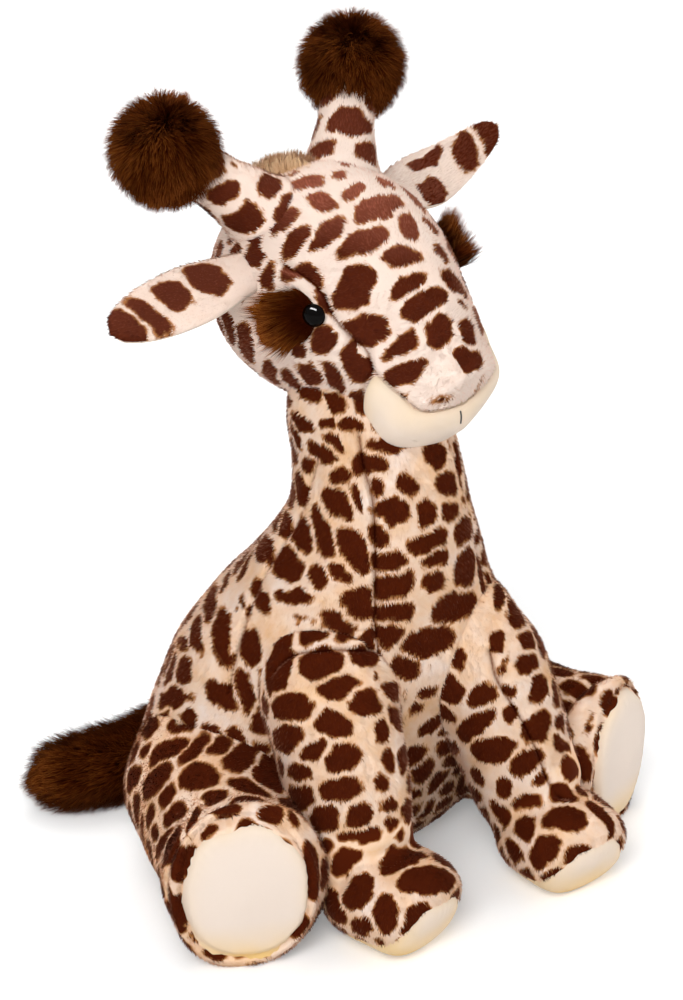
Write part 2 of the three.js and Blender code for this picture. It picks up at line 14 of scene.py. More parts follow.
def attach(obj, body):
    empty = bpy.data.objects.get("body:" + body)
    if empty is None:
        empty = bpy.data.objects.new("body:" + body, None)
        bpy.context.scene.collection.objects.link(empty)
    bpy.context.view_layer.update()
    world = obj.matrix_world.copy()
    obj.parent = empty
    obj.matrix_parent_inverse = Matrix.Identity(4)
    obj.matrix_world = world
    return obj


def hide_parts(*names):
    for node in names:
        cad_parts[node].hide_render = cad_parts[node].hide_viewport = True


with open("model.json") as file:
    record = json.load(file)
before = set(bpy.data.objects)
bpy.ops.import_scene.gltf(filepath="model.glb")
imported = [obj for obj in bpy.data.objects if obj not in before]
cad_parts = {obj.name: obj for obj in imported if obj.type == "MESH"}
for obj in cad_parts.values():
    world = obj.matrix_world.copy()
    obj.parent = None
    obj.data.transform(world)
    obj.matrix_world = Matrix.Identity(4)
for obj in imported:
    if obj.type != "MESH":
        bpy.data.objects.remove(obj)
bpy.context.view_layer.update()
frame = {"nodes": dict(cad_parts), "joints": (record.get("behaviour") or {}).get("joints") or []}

# The camera: a long lens at the toy's front right, a little above its head.
# The focal length and the small shift are those of the photograph, 683 x 1000 pixels.
mm = 0.001
aim = Vector((2.1, -35.3, 200)) * mm
azimuth, elevation = math.radians(-36), math.radians(25)
back = Vector((math.sin(azimuth) * math.cos(elevation), -math.cos(azimuth) * math.cos(elevation),
               math.sin(elevation)))
right = Vector((math.cos(azimuth), math.sin(azimuth), 0))
lens = bpy.data.cameras.new("camera")
lens.sensor_width = 36
lens.lens = 100.75
lens.shift_x = -0.0515
lens.shift_y = 0.033
camera = bpy.data.objects.new("camera", lens)
turn = Matrix((right, back.cross(right), back)).transposed().to_4x4()
camera.matrix_world = Matrix.Translation(aim + back * 1.5) @ turn
bpy.context.scene.collection.objects.link(camera)
bpy.context.scene.camera = camera


# The studio: a white floor that keeps the soft shadow, a wide key light from the upper left, a weaker
# fill from the right, one from behind and a white sky. Floor and sky look like white paper. A strip
# light only glints in what is polished, where the wide lights leave no reflection.
def hex_colour(code):
    """An sRGB hex colour as linear RGBA."""
    parts = [int(code[i:i + 2], 16) / 255 for i in (1, 3, 5)]
    return tuple(p / 12.92 if p <= 0.04045 else ((p + 0.055) / 1.055) ** 2.4 for p in parts) + (1,)


def add_node(material, kind, settings=None, **links):
    """One shader node of a kind: settings by socket or property name, links by socket name. A link comes
    from a socket, or from the first output of a node."""
    node = material.node_tree.nodes.new("ShaderNode" + kind)
    for name, value in (settings or {}).items():
        if isinstance(name, int) or name in node.inputs:
            node.inputs[name].default_value = value
        else:
            setattr(node, name, value)
    for name, source in links.items():
        key = int(name[1:]) if name[0] == "_" else name.replace("_", " ")
        material.node_tree.links.new(source.outputs[0] if hasattr(source, "outputs") else source, node.inputs[key])
    return node


def new_material(name):
    """A material that has no nodes yet."""
    material = bpy.data.materials.new(name)
    material.use_nodes = True
    material.node_tree.nodes.clear()
    return material


def area_light(name, place, width, height, power, glint=False):
    """A lamp that looks at the toy from a place round it. It lights the toy, or else only glints in it."""
    light = bpy.data.lights.new(name, "AREA")
    light.shape = "RECTANGLE"
    light.size, light.size_y = width, height
    light.energy = power
    lamp = bpy.data.objects.new(name, light)
    lamp.location = aim + Vector(place)
    lamp.rotation_euler = (-Vector(place)).to_track_quat("-Z", "Y").to_euler()
    lamp.visible_glossy, lamp.visible_diffuse = glint, not glint
    bpy.context.scene.collection.objects.link(lamp)


area_light("key_light", (-1.3, -1.1, 1.5), 1.2, 1.2, 36)
area_light("strip_light", (-1.3, -0.45, 1.4), 1.6, 0.5, 450, glint=True)
area_light("fill_light", (1.5, -1.2, 0.7), 1.4, 1.4, 11)
area_light("top_light", (0.2, 0.9, 1.7), 1.2, 1.2, 12)

sky = bpy.data.worlds.new("white_sky")
sky.use_nodes = True
sky.node_tree.nodes.clear()
ray = add_node(sky, "LightPath")
seen_or_mirrored = add_node(sky, "Math", {"operation": "MAXIMUM"},
                            _0=ray.outputs["Is Camera Ray"], _1=ray.outputs["Is Glossy Ray"])
paper_white = add_node(sky, "Math", {"operation": "MAXIMUM"},
                       _0=seen_or_mirrored, _1=ray.outputs["Is Transmission Ray"])
soft_sky = add_node(sky, "Background", {"Color": (1, 1, 1, 1), "Strength": 0.42})
white_sky = add_node(sky, "Background", {"Color": (1, 1, 1, 1), "Strength": 1.0})
sky_mix = add_node(sky, "MixShader", _0=paper_white,
                   _1=soft_sky, _2=white_sky)
add_node(sky, "OutputWorld", Surface=sky_mix)
bpy.context.scene.world = sky

paper = new_material("white_paper_floor")
path = add_node(paper, "LightPath")
paper_seen = add_node(paper, "Math", {"operation": "MAXIMUM"},
                      _0=path.outputs["Is Camera Ray"], _1=path.outputs["Is Glossy Ray"])
# Far behind the toy, where the lamps no longer reach, the sheet shines a little more.
paper_place = add_node(paper, "NewGeometry")
paper_far = add_node(paper, "VectorMath", {"operation": "LENGTH"}, _0=paper_place)
paper_shine = add_node(paper, "MapRange", {"From Min": 0.3, "From Max": 1.6, "To Min": 0.24, "To Max": 0.62},
                       Value=paper_far.outputs["Value"])
paper_lift = add_node(paper, "Math", {"operation": "MULTIPLY"}, _0=paper_seen,
                      _1=paper_shine)
paper_matt = add_node(paper, "BsdfDiffuse", {"Color": hex_colour("#F2F2F2")})
paper_glow = add_node(paper, "Emission", {"Color": (1, 1, 1, 1)}, Strength=paper_lift)
paper_both = add_node(paper, "AddShader", _0=paper_matt, _1=paper_glow)
add_node(paper, "OutputMaterial", Surface=paper_both)
floor_mesh = bpy.data.meshes.new("paper_floor")
floor_mesh.from_pydata([(-9, -9, 0), (9, -9, 0), (9, 9, 0), (-9, 9, 0)], [], [(0, 1, 2, 3)])
floor_mesh.materials.append(paper)
floor = bpy.data.objects.new("paper_floor", floor_mesh)
bpy.context.scene.collection.objects.link(floor)

bpy.context.scene.view_settings.view_transform = "Standard"


# Body cover: one printed plush bag, rump to neck, sewn from two sides and a chest gusset
# and stuffed tight with fibre. The seams pull into the pile, and the rump rests flat.
neck_seam = next(joint for joint in frame["joints"] if joint["name"] == "neck_nod")
neck_setback = 66
middle = np.array([-neck_seam["pos_m"][0] / mm, neck_setback - neck_seam["pos_m"][1] / mm, 0])


def in_place(points):
    """Cutting-table millimetres to metres in the frame."""
    return (np.asarray(points, float) - middle) * mm


def smooth_row(rows, count):
    """Points on the smooth curve through the rows, evenly spread over the stations."""
    rows = np.array(rows, float)
    rows = np.vstack([2 * rows[0] - rows[1], rows, 2 * rows[-1] - rows[-2]])
    t = np.linspace(0, len(rows) - 3, count)
    i = np.minimum(t.astype(int), len(rows) - 4)
    f = (t - i)[:, None]
    a, b, c, d = rows[i], rows[i + 1], rows[i + 2], rows[i + 3]
    return 0.5 * (2 * b + (c - a) * f + (2 * a - 5 * b + 4 * c - d) * f ** 2 + (3 * b - a - 3 * c + d) * f ** 3)


def stuffed(stations, across, sides, rings):
    """A closed form that swells and tapers along stations of x, y, z, half width, half depth."""
    rows = smooth_row(stations, rings + 1)
    centre, girth = rows[:, :3], np.maximum(rows[:, 3:], 0)
    ahead = np.gradient(centre, axis=0)
    ahead /= np.linalg.norm(ahead, axis=1)[:, None]
    wide = np.array(across, float) - ahead * (ahead @ np.array(across, float))[:, None]
    wide /= np.linalg.norm(wide, axis=1)[:, None]
    high = np.cross(ahead, wide)
    angle = np.linspace(0, 2 * np.pi, sides, endpoint=False)
    ring = (centre[1:-1, None] + wide[1:-1, None] * (girth[1:-1, :1] * np.cos(angle))[..., None]
            + high[1:-1, None] * (girth[1:-1, 1:] * np.sin(angle))[..., None])
    points = np.vstack([centre[:1], ring.reshape(-1, 3), centre[-1:]])
    last = len(points) - 1
    at = 1 + np.arange((rings - 1) * sides).reshape(rings - 1, sides)
    nxt = np.roll(at, -1, 1)
    quads = np.stack([at[:-1], nxt[:-1], nxt[1:], at[1:]], -1).reshape(-1, 4)
    faces = quads.tolist()
    faces += [[0, int(nxt[0, k]), int(at[0, k])] for k in range(sides)]
    faces += [[last, int(at[-1, k]), int(nxt[-1, k])] for k in range(sides)]
    return points, faces


def new_mesh(name, points, faces, material):
    """A smooth mesh in one material."""
    mesh = bpy.data.meshes.new(name)
    mesh.from_pydata([tuple(p) for p in points], [], faces)
    mesh.validate()
    mesh.materials.append(material)
    mesh.shade_smooth()
    return mesh


def add_piece(name, mesh, body, slot, *nodes):
    """A finished mesh becomes a piece that rides on its body and stands for CAD nodes."""
    piece = bpy.data.objects.new(name, mesh)
    bpy.context.scene.collection.objects.link(piece)
    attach(piece, body)
    if nodes:
        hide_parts(*nodes)
    return piece


def triangles(points, faces):
    """The numbers of the corners of the triangles that the faces split into, and twice their areas as
    vectors."""
    tri = np.array([(face[0], face[i], face[i + 1]) for face in faces for i in range(1, len(face) - 1)])
    a, b, c = points[tri[:, 0]], points[tri[:, 1]], points[tri[:, 2]]
    return tri, np.cross(b - a, c - a)


def outward(points, faces):
    """Unit normals of the points, facing out of the closed form."""
    tri, area = triangles(points, faces)
    normals = np.zeros_like(points)
    for k in range(3):
        np.add.at(normals, tri[:, k], area)
    normals /= np.maximum(np.linalg.norm(normals, axis=1), 1e-12)[:, None]
    return normals if (area * (points[tri[:, 0]] - points.mean(0))).sum() > 0 else -normals


def facing_out(points, faces):
    """The faces, turned where need be so that the form isn't inside out."""
    tri, area = triangles(points, faces)
    if (area * (points[tri[:, 0]] - points.mean(0))).sum() > 0:
        return faces
    return [face[::-1] for face in faces]


def tree_of(points, faces):
    """A form made ready for the nearest place on it, or the place where a ray meets it, to be found."""
    return BVHTree.FromPolygons([tuple(p) for p in points], [tuple(f) for f in faces])


def height_over(points, tree):
    """Each point's distance outside another form, negative inside it, with the way out."""
    far = np.empty(len(points))
    way = np.empty((len(points), 3))
    for i, p in enumerate(points):
        spot, normal, _, distance = tree.find_nearest(Vector(p))
        sign = 1 if (Vector(p) - spot).dot(normal) > 0 else -1
        far[i] = sign * distance
        way[i] = normal
    return far, way


def filleted(points, faces, others, width):
    """Cloth pulled over the crease where two stuffed forms press together."""
    normals = outward(points, faces)
    moved = points.copy()
    for tree in others:
        far, way = height_over(points, tree)
        push = width / 4 * np.maximum(1 - np.abs(far) / width, 0) ** 2
        lean = normals + way
        lean /= np.maximum(np.linalg.norm(lean, axis=1), 0.5)[:, None]
        moved += lean * push[:, None]
    return moved


def ripple(points, size, seed, kind=noise.noise):
    """Smooth noise over the points, about -1 to 1, with waves of the given size."""
    shift = Vector((seed * 7.31, seed * 3.17, seed * 5.77))
    return np.array([kind(Vector(p) / size + shift) for p in points])


# Blender seeds the shifts of its noise vectors by the clock unless a seed is set.
noise.seed_set(7)


def ripples(points, size, seed):
    """Smooth noise over the points as a direction, each part about -1 to 1."""
    return ripple(points, size, seed, noise.noise_vector)


def seam_distance(points, seam):
    """Each point's distance from a seam, in metres."""
    seam = np.asarray(seam, float)
    best = np.full(len(points), 1e9)
    for a, b in zip(seam[:-1], seam[1:]):
        t = np.clip((points - a) @ (b - a) / ((b - a) @ (b - a)), 0, 1)
        best = np.minimum(best, np.linalg.norm(points - a - t[:, None] * (b - a), axis=1))
    return best


def nearest_seam(places, seams):
    """Each place's distance from the nearest of the seams: a metre where there are none."""
    return np.min([np.full(len(places), 1.0)] + [seam_distance(places, seam) for seam in seams], 0)


def sewn(points, faces, seams, width, depth):
    """The skin pulled in along its seams, and the rows of points that their threads then run through."""
    tree = tree_of(points, faces)
    lines, threads = [], []
    for seam in seams:
        spots = [tree.find_nearest(Vector(p))[:2] for p in smooth_row(seam, 5 * len(seam))]
        lines.append(np.array([spot for spot, _ in spots]))
        threads.append(np.array([spot - way * depth for spot, way in spots]))
    pull = np.exp(-(nearest_seam(points, lines) / width) ** 2) * depth
    return points - outward(points, faces) * pull[:, None], threads


def worked(points, faces, kind, **settings):
    """The skin after one modifier, as points and faces again."""
    mesh = bpy.data.meshes.new("skin")
    mesh.from_pydata(np.asarray(points).tolist(), [], faces)
    block = bpy.data.objects.new("skin", mesh)
    bpy.context.scene.collection.objects.link(block)
    step = block.modifiers.new("step", kind)
    for name, value in settings.items():
        setattr(step, name, value)
    done = bpy.data.meshes.new_from_object(block.evaluated_get(bpy.context.evaluated_depsgraph_get()))
    places = np.empty(len(done.vertices) * 3)
    done.vertices.foreach_get("co", places)
    faces = [list(p.vertices) for p in done.polygons]
    bpy.data.objects.remove(block)
    bpy.data.meshes.remove(mesh)
    bpy.data.meshes.remove(done)
    return places.reshape(-1, 3), faces


def off_floor(points, gap=0.3 * mm):
    """The points, none of them lower than a hair over the floor."""
    points[..., 2] = np.maximum(points[..., 2], gap)
    return points


def round_filling(points, node):
    """The cover kept a cloth's thickness outside the filling that it holds. Where it lies deep inside,
    another part of the filling is the nearest, and it stays."""
    cloth, deep = 0.7 * mm, -7 * mm
    filling = frame["nodes"][node].data
    tree = tree_of([v.co for v in filling.vertices], [p.vertices for p in filling.polygons])
    far, way = height_over(points, tree)
    # A point is inside only where at least half of six places round it are: near a sharp edge of the
    # filling one test alone can be wrong, and would raise a spike.
    around = np.vstack([np.eye(3), -np.eye(3)]) * 1.5 * mm
    for i in np.flatnonzero((far < 0) & (far > deep)):
        if (height_over(points[i] + around, tree)[0] < 0).sum() < 3:
            far[i] = -far[i]
    short = np.where(far > deep, np.maximum(cloth - far, 0), 0)
    return points + way * short[:, None]


body_stations = [
    (0, 110, -0.5, 0, 0), (0, 110, 3, 76, 62), (0, 110, 28, 101, 80), (0, 106, 64, 107, 83),
    (0, 91, 104, 98, 79), (0, 70, 146, 79, 66), (0, 57, 182, 63.5, 54), (0, 53, 214, 49, 45.5),
    (0, 58, 246, 43.5, 42), (0, 66, 270, 41.5, 41), (0, 74, 292, 32, 32), (0, 78, 304, 0, 0)]
body_points, body_faces = stuffed(body_stations, (1, 0, 0), 150, 120)
body_points = in_place(body_points)
body_faces = facing_out(body_points, body_faces)

# Each leg's side, shoulder and foot out from the middle, setback and turn of the front foot inwards;
# then the hind foot's turn outwards, its place and the thigh's height as shares.
leg_places = {"right": (-1, 52, 54, 2, 14), "left": (1, 43, 62, -2, 0)}
haunch_places = {"right": (-1, 17, 1, 1), "left": (1, 10, 0.965, 0.87)}
shoulder_back, front_reach, foot_half_width, foot_half_height = 36, 95, 33, 25.5
hip_back, hind_reach, knee_out, thigh_half_width = 150, 162, 133, 47


def front_foot_out(foot, turned_in, along):
    """How far out a front foot lies at a share of its reach: its front half turns inwards."""
    return foot - math.tan(math.radians(turned_in)) * max(along - 0.5, 0) * front_reach


def front_leg_forms(side, shoulder, foot, setback, turned_in):
    """The shin and the foot, the two stuffed forms that a front leg is cut as."""
    leg_height, leg_half_width, top = 162.5, 34, shoulder_back + setback
    shin_rows = [(1, 0, 0, 0), (0.938, 0.021, 0, 0.647), (0.778, 0.105, 0, 1), (0.582, 0.253, 0.4, 1),
                 (0.385, 0.368, 0.7, 0.93), (0.24, 0.46, 0.95, 0.85), (0.12, 0.51, 1, 0.62), (0.08, 0.53, 1, 0)]
    foot_rows = [(0.3, 1.08, 0, 0), (0.35, 1.08, 0.5, 0.55), (0.5, 1.04, 0.9, 1), (0.7, 1, 1, 1.03),
                 (0.88, 0.96, 0.96, 0.92), (0.97, 0.9, 0.7, 0.62), (1, 0.86, 0, 0)]
    shin = [(side * (shoulder + (foot - shoulder) * out), top - along * front_reach, tall * leg_height,
             girth * leg_half_width, girth * leg_half_width) for tall, along, out, girth in shin_rows]
    toe = [(side * front_foot_out(foot, turned_in, along), top - along * front_reach, lift * foot_half_height,
            wide * foot_half_width, high * foot_half_height) for along, lift, wide, high in foot_rows]
    return stuffed(shin, (1, 0, 0), 90, 80), stuffed(toe, (1, 0, 0), 90, 50)


def hind_leg_form(side, turned_out, foot_out, haunch):
    """The thigh, shin and foot in one, lying on the floor."""
    rows = [(0, 0.526, 1.06, 0, 0), (0.062, 0.556, 1.02, 0.596, 0.596), (0.259, 0.609, 1, 0.979, 1),
            (0.506, 0.707, 1, 1, 1), (0.741, 0.827, 0.926, 0.915, 0.926), (0.901, 0.932, 0.915, 0.872, 0.915),
            (0.975, 0.985, 0.915, 0.702, 0.766), (1, 1, 0.915, 0, 0)]
    stations = []
    for along, out, lift, wide, high in rows:
        ahead = min(max((along - 0.25) / 0.7, 0), 1)
        tall = thigh_half_width * (haunch + (1 - haunch) * ahead ** 2 * (3 - 2 * ahead))
        stations.append((side * out * foot_out * knee_out, hip_back - along * hind_reach, lift * tall - 0.5,
                         wide * thigh_half_width, high * tall))
    return stuffed(stations, (1, 0, 0), 110, 90)


def one_skin(forms, voxel):
    """Overlapping stuffed forms joined into one closed skin, as the cloth that is sewn round them."""
    points, faces = [], []
    for form_points, form_faces in forms:
        placed = in_place(form_points)
        faces += [[k + len(points) for k in face] for face in facing_out(placed, form_faces)]
        points += placed.tolist()
    points, faces = worked(points, faces, "REMESH", mode="VOXEL", voxel_size=voxel)
    return eased(points, faces, 4), faces


def eased(points, faces, rounds):
    """The skin relaxed towards its neighbours, which rounds the creases between forms."""
    edges = np.array(sorted({tuple(sorted((face[i], face[i - 1]))) for face in faces for i in range(len(face))}))
    count = np.bincount(edges.ravel(), minlength=len(points))[:, None]
    for _ in range(rounds):
        total = np.zeros_like(points)
        np.add.at(total, edges[:, 0], points[edges[:, 1]])
        np.add.at(total, edges[:, 1], points[edges[:, 0]])
        points = points * 0.4 + total / count * 0.6
    return points


front_legs = {word: one_skin(front_leg_forms(*place), 2.2 * mm) for word, place in leg_places.items()}
hind_legs = {}
for word, place in haunch_places.items():
    points, faces = hind_leg_form(*place)
    points = in_place(points)
    hind_legs[word] = (points, facing_out(points, faces))
body_tree = tree_of(body_points, body_faces)
front_trees = {word: tree_of(*form) for word, form in front_legs.items()}
hind_trees = {word: tree_of(*form) for word, form in hind_legs.items()}

body_points = filleted(body_points, body_faces, front_trees.values(), 17 * mm)
body_points = filleted(body_points, body_faces, hind_trees.values(), 12 * mm)
body_points += outward(body_points, body_faces) * (ripple(body_points, 38 * mm, 1) * 1.8 * mm)[:, None]
body_points, body_faces = worked(body_points, body_faces, "SUBSURF", levels=1)
gusset_right = in_place([(-33, 27, 268), (-31, 24, 250), (-29, 18, 235), (-30, 14, 208), (-31, 13, 180),
                         (-30, 14, 156), (-29, 10, 140)])
gusset_left = in_place([(30, 25, 262), (31, 20, 236), (36, 20, 216), (41, 24, 187), (44, 28, 160), (42, 12, 140)])
side_right = in_place([(-48, 50, 250), (-49, 56, 229), (-53, 66, 198), (-64, 71, 172), (-76, 73, 145),
                       (-90, 70, 118)])
side_left = side_right * (-1, 1, 1)
back_seam = in_place([(0, 112, 290), (0, 104, 262), (0, 100, 240), (0, 100, 214), (0, 110, 182), (0, 133, 146),
                      (0, 168, 104), (0, 189, 64), (0, 190, 28)])
leg_top = in_place([(-86, 41, 143), (-73.7, 30.8, 152.8), (-62.9, 18.6, 157.6), (-48.3, 12, 155.9),
                    (-30.7, 14, 146.7), (-27, 11, 134)])
body_seams = [gusset_right, gusset_left, side_right, side_left, back_seam, leg_top]
body_points, body_threads = sewn(body_points, body_faces, body_seams, 2.0 * mm, 3.0 * mm)
body_points = off_floor(round_filling(body_points, "body_filling"))


# The print: giraffe patches, rounded shapes 10 to 28 mm long that stop short where a neighbour comes
# close, laid out panel by panel, so that they break at each seam as cut cloth does.
def sown(points, faces, count, rng):
    """Random places spread evenly over the skin, with their normals."""
    tri, area = triangles(points, faces)
    a, b, c = points[tri[:, 0]], points[tri[:, 1]], points[tri[:, 2]]
    area = np.linalg.norm(area, axis=1)
    pick = rng.choice(len(tri), count, p=area / area.sum())
    u, v = rng.random((2, count))
    over = u + v > 1
    u[over], v[over] = 1 - u[over], 1 - v[over]
    place = a[pick] + u[:, None] * (b - a)[pick] + v[:, None] * (c - a)[pick]
    normals = outward(points, faces)[tri[pick]]
    way = normals[:, 0] * (1 - u - v)[:, None] + normals[:, 1] * u[:, None] + normals[:, 2] * v[:, None]
    return place, way / np.linalg.norm(way, axis=1)[:, None]


def laid(rows, place=in_place, turned=np.eye(3), usual=(0, 0, 7, 5)):
    """Patches given as rows of middle, long half and half width, as arrays in the frame. A row with no
    more than its middle is a usual patch."""
    rows = np.array([row if len(row) == 7 else row + usual for row in rows], float)
    return place(rows[:, :3]), rows[:, 3:6] @ turned.T * mm, rows[:, 6] * mm


def patch_shares(off, halves, widths, squareness=2.3):
    """0 in the middle of each patch, 1 on its edge, more outside it."""
    longest = np.linalg.norm(halves, axis=-1)
    along = (off * halves).sum(-1) / longest
    across = np.sqrt(np.maximum((off ** 2).sum(-1) - along ** 2, 0))
    return ((np.abs(along) / longest) ** squareness + (across / widths) ** squareness) ** (1 / squareness)


def patch_depth(places, middles, halves, widths, gaps, softness, batch=20000):
    """How far inside a patch each place lies, in metres; cream where it is negative."""
    out = np.empty(len(places))
    few = min(8, len(middles))  # no place touches more patches than these
    sizes = np.sqrt(np.linalg.norm(halves, axis=1) * widths)
    for start in range(0, len(places), batch):
        block = places[start:start + batch]
        square = (block ** 2).sum(1)[:, None] - 2 * block @ middles.T + (middles ** 2).sum(1)
        near = np.argpartition(square, few - 1, axis=1)[:, :few]
        share = patch_shares(block[:, None] - middles[near], halves[near], widths[near])
        order = share.argsort(1)
        near, share = np.take_along_axis(near, order, 1), np.take_along_axis(share, order, 1)
        own = sizes[near[:, 0]]
        edge = (share[:, 1:] - share[:, :1]) / (1 / own[:, None] + 1 / sizes[near[:, 1:]])
        round_edge = -softness * np.log(np.exp(-edge / softness).sum(1)) - gaps[near[:, 0]] / 2
        out[start:start + batch] = np.minimum(round_edge, (1 - share[:, 0]) * own)
    return out


def stretched(along, amount):
    """Cloth space in which patches come out longer along a direction."""
    along = np.array(along, float) / np.linalg.norm(along)
    return np.eye(3) - (1 - 1 / amount) * np.outer(along, along)


class Print:
    """The patches of one cover: those that are placed, and more sown between and around them. Each panel
    gives these a direction, how long they are for their width, and ranges of spacing, gap and half length
    in mm. How much tan the cream has, and how much painted sheen pales the brown, most where the pile
    faces up, goes with the cover."""
    tan = 0.85

    def __init__(self, points, faces, panel_of, panels, seed, placed):
        rng = np.random.default_rng(seed)
        self.panel_of, self.panels, self.seed = panel_of, [], seed
        places, ways = sown(points, faces, 12000, rng)
        number = panel_of(places)
        placed_number = panel_of(placed[0])
        for k, (along, amount, spacing, gap, half) in enumerate(panels):
            middles, halves, widths = (part[placed_number == k] for part in placed)
            stretch, first = stretched(along, amount), len(middles)
            for place, way in zip(places[number == k], ways[number == k]):
                if first:
                    share = patch_shares(place - middles[:first], halves[:first], widths[:first])
                    if ((share - 1) * widths[:first]).min() < spacing[0] * 0.55 * mm:
                        continue
                apart = rng.uniform(*spacing) * mm
                if len(middles) and np.linalg.norm((middles - place) @ stretch.T, axis=1).min() < apart:
                    continue
                lie = np.array(along) + rng.normal(0, 0.45, 3)
                lie -= way * (lie @ way)
                long_half = rng.uniform(*half) * mm
                middles = np.vstack([middles, place])
                halves = np.vstack([halves, lie / np.linalg.norm(lie) * long_half])
                widths = np.append(widths, long_half / (amount * rng.uniform(0.85, 1.3)))
            self.panels.append((middles, halves, widths, rng.uniform(*gap, len(middles)) * mm))

    def pale(self, ways):
        """How far the brown is painted paler and redder where the pile stands this way, from 0 to 1: a painted
        sheen. Here it is the same small share everywhere.
        """
        return np.full(len(ways), 0.06)

    def depth(self, places):
        """How far inside a patch each place lies, in metres, with edges that wander as printed ones do."""
        number = self.panel_of(places)
        wander = ripples(places, 9 * mm, self.seed) * 2.2 * mm + ripples(places, 3 * mm, self.seed + 1) * 1.1 * mm
        out = np.full(len(places), -1.0)
        for k, (middles, halves, widths, gaps) in enumerate(self.panels):
            mine = number == k
            if mine.any() and len(middles) > 2:
                out[mine] = patch_depth((places + wander)[mine], middles, halves * 1.06, widths * 1.06, gaps,
                                        0.6 * mm)
        return out


def body_panel(places):
    """0 the chest gusset, 1 the right side, 2 the left side."""
    heights = places[:, 2] / mm
    left = np.interp(heights, [100, 140, 187, 216, 262], [50, 44, 41, 36, 30])
    right_edge = np.interp(heights, [100, 140, 180, 235, 268], [32, 30, 31, 30, 33])
    x = places[:, 0] / mm
    front = places[:, 1] / mm < np.interp(heights, [0, 64, 104, 146, 182, 214, 270], [10, 5, -5, -18, -25, -28, -18])
    number = np.where(x < 0, 1, 2)
    number[front & (x > -right_edge) & (x < left)] = 0
    return number


# Patches that show in front: middle, long half, half width.
chest_patches = [
    (-37, 82, 271, -3, -7, 0, 4), (-30, 36, 272, 6, -6, -1, 4), (-37, 45, 271, 4, -7, 1, 3),
    (-42, 63, 267, -2, -13, 1, 4), (-15, 22, 263, 12, -4, 2, 6), (-36, 39, 262, 5, -8, -1, 5),
    (-41, 48, 254, 3, -10, -2, 5), (-26, 25, 253, 8, -5, 0, 6), (25, 20, 252, -1, 1, 4, 3),
    (12, 15, 252, 9, 1, -5, 7), (-44, 56, 245, 0, -6, 3, 4), (-41, 35, 246, -5, 9, -1, 5),
    (-26, 18, 241, 1, 1, 7, 5),
    (-10, 11, 240, 0, 2, 8, 6), (17, 12, 235, 9, 2, -4, 7), (-34, 22, 235, -3, 5, 7, 6),
    (-43, 33, 231, -5, 10, 2, 8), (-21, 12, 228, 10, -4, 0, 8), (-1, 7, 223, 2, 1, 8, 6),
    (31, 16, 220, -3, -1, 5, 3), (16, 9, 220, 9, 2, -1, 6), (-48, 39, 215, -1, 9, 12, 7),
    (-28, 14, 215, -1, 2, 9, 6), (-52, 52, 209, 1, 7, 8, 9), (-2, 6, 208, 13, 0, 1, 6),
    (-39, 21, 208, -6, 8, 11, 7), (28, 13, 204, 8, 4, -5, 8), (-24, 10, 201, 10, -5, -1, 7),
    (2, 5, 197, 10, 0, 0, 5), (-45, 26, 195, -4, 6, 4, 4), (-57, 55, 192, -1, 12, 0, 9),
    (-51, 35, 191, -1, 4, 6, 5), (-53, 81, 188, 5, 12, -1, 7), (-22, 9, 187, 10, -4, 5, 8),
    (0, 5, 185, 8, 0, -6, 6), (27, 11, 183, -6, -2, 10, 11), (-38, 17, 178, -2, 2, 10, 9),
    (-59, 46, 177, -4, 11, -2, 5), (-23, 10, 172, 11, -4, 0, 8), (-65, 65, 169, 1, 11, 5, 6),
    (-47, 25, 167, -6, 6, 6, 7), (-58, 38, 166, -5, 9, -1, 5), (17, 8, 165, 16, 4, -3, 9),
    (-69, 75, 160, 3, 8, 5, 4), (-26, 12, 159, 7, -3, 5, 9), (-58, 111, 159, 6, 8, 1, 5),
    (-71, 83, 156, 3, 3, 5, 2), (32, 15, 150), (-29, 14, 149, -5, 1, 7, 3),
    (-1, 8, 149, 16, 0, -2, 9), (-67, 48, 149), (-67, 114, 147, 9, 15, 2, 7),
    (-35, 17, 146, 0, 0, 5, 4), (-78, 85, 141, 6, 10, 13, 8), (-15, 11, 137, 9, -1, -8, 7),
    (-81, 107, 133, 6, 14, 5, 6), (5, 11, 132, 7, 1, -2, 4), (25, 15, 126),
    (-83, 119, 123, 4, 14, -2, 5), (50, 27, 123), (-14, 14, 120, -2, -1, 7, 4),
    (3, 13, 117, 8, 0, 1, 6), (-5, 15, 107, 4, 1, -4, 5), (26, 20, 103),
    (-14, 17, 103, 0, 0, 5, 4), (-96, 109, 101, -2, 16, -8, 8), (-9, 17, 100, -2, -1, 6, 2),
    (60, 36, 90)]
chest = ((1, 0, 0.1), 1.35, (10, 15), (2.2, 3.6), (8, 12))
flank = ((0, -0.5, -0.85), 1.5, (10, 15), (2.2, 3.6), (8.5, 13))
body_print = Print(body_points, body_faces, body_panel, [chest, flank, flank], 11, laid(chest_patches))

# Printed plush: polyester velour with a pile under 3 mm, cream with dark brown patches. The brown is
# deep between the hairs; where the light grazes the pile it turns paler and redder, as velour does. The
# sheen gives some of this, and the brown is also painted paler and redder where the pile faces up: a
# painted sheen.
plush_cream, plush_tan = hex_colour("#F6E3D6"), hex_colour("#EBBC86")
plush_brown, plush_tip, plush_edge = hex_colour("#3D1002"), hex_colour("#6E2D0E"), hex_colour("#B97E4C")
# The colour that the painted sheen gives the brown where the pile faces up.
plush_painted_sheen = hex_colour("#A05A45")
printed_plush = new_material("printed_polyester_velour")
place = add_node(printed_plush, "NewGeometry")
patch, along, shade, tan, seam, pale = (add_node(printed_plush, "Attribute", {"attribute_name": name})
                                        for name in ("patch", "along", "shade", "tan", "seam", "pale"))
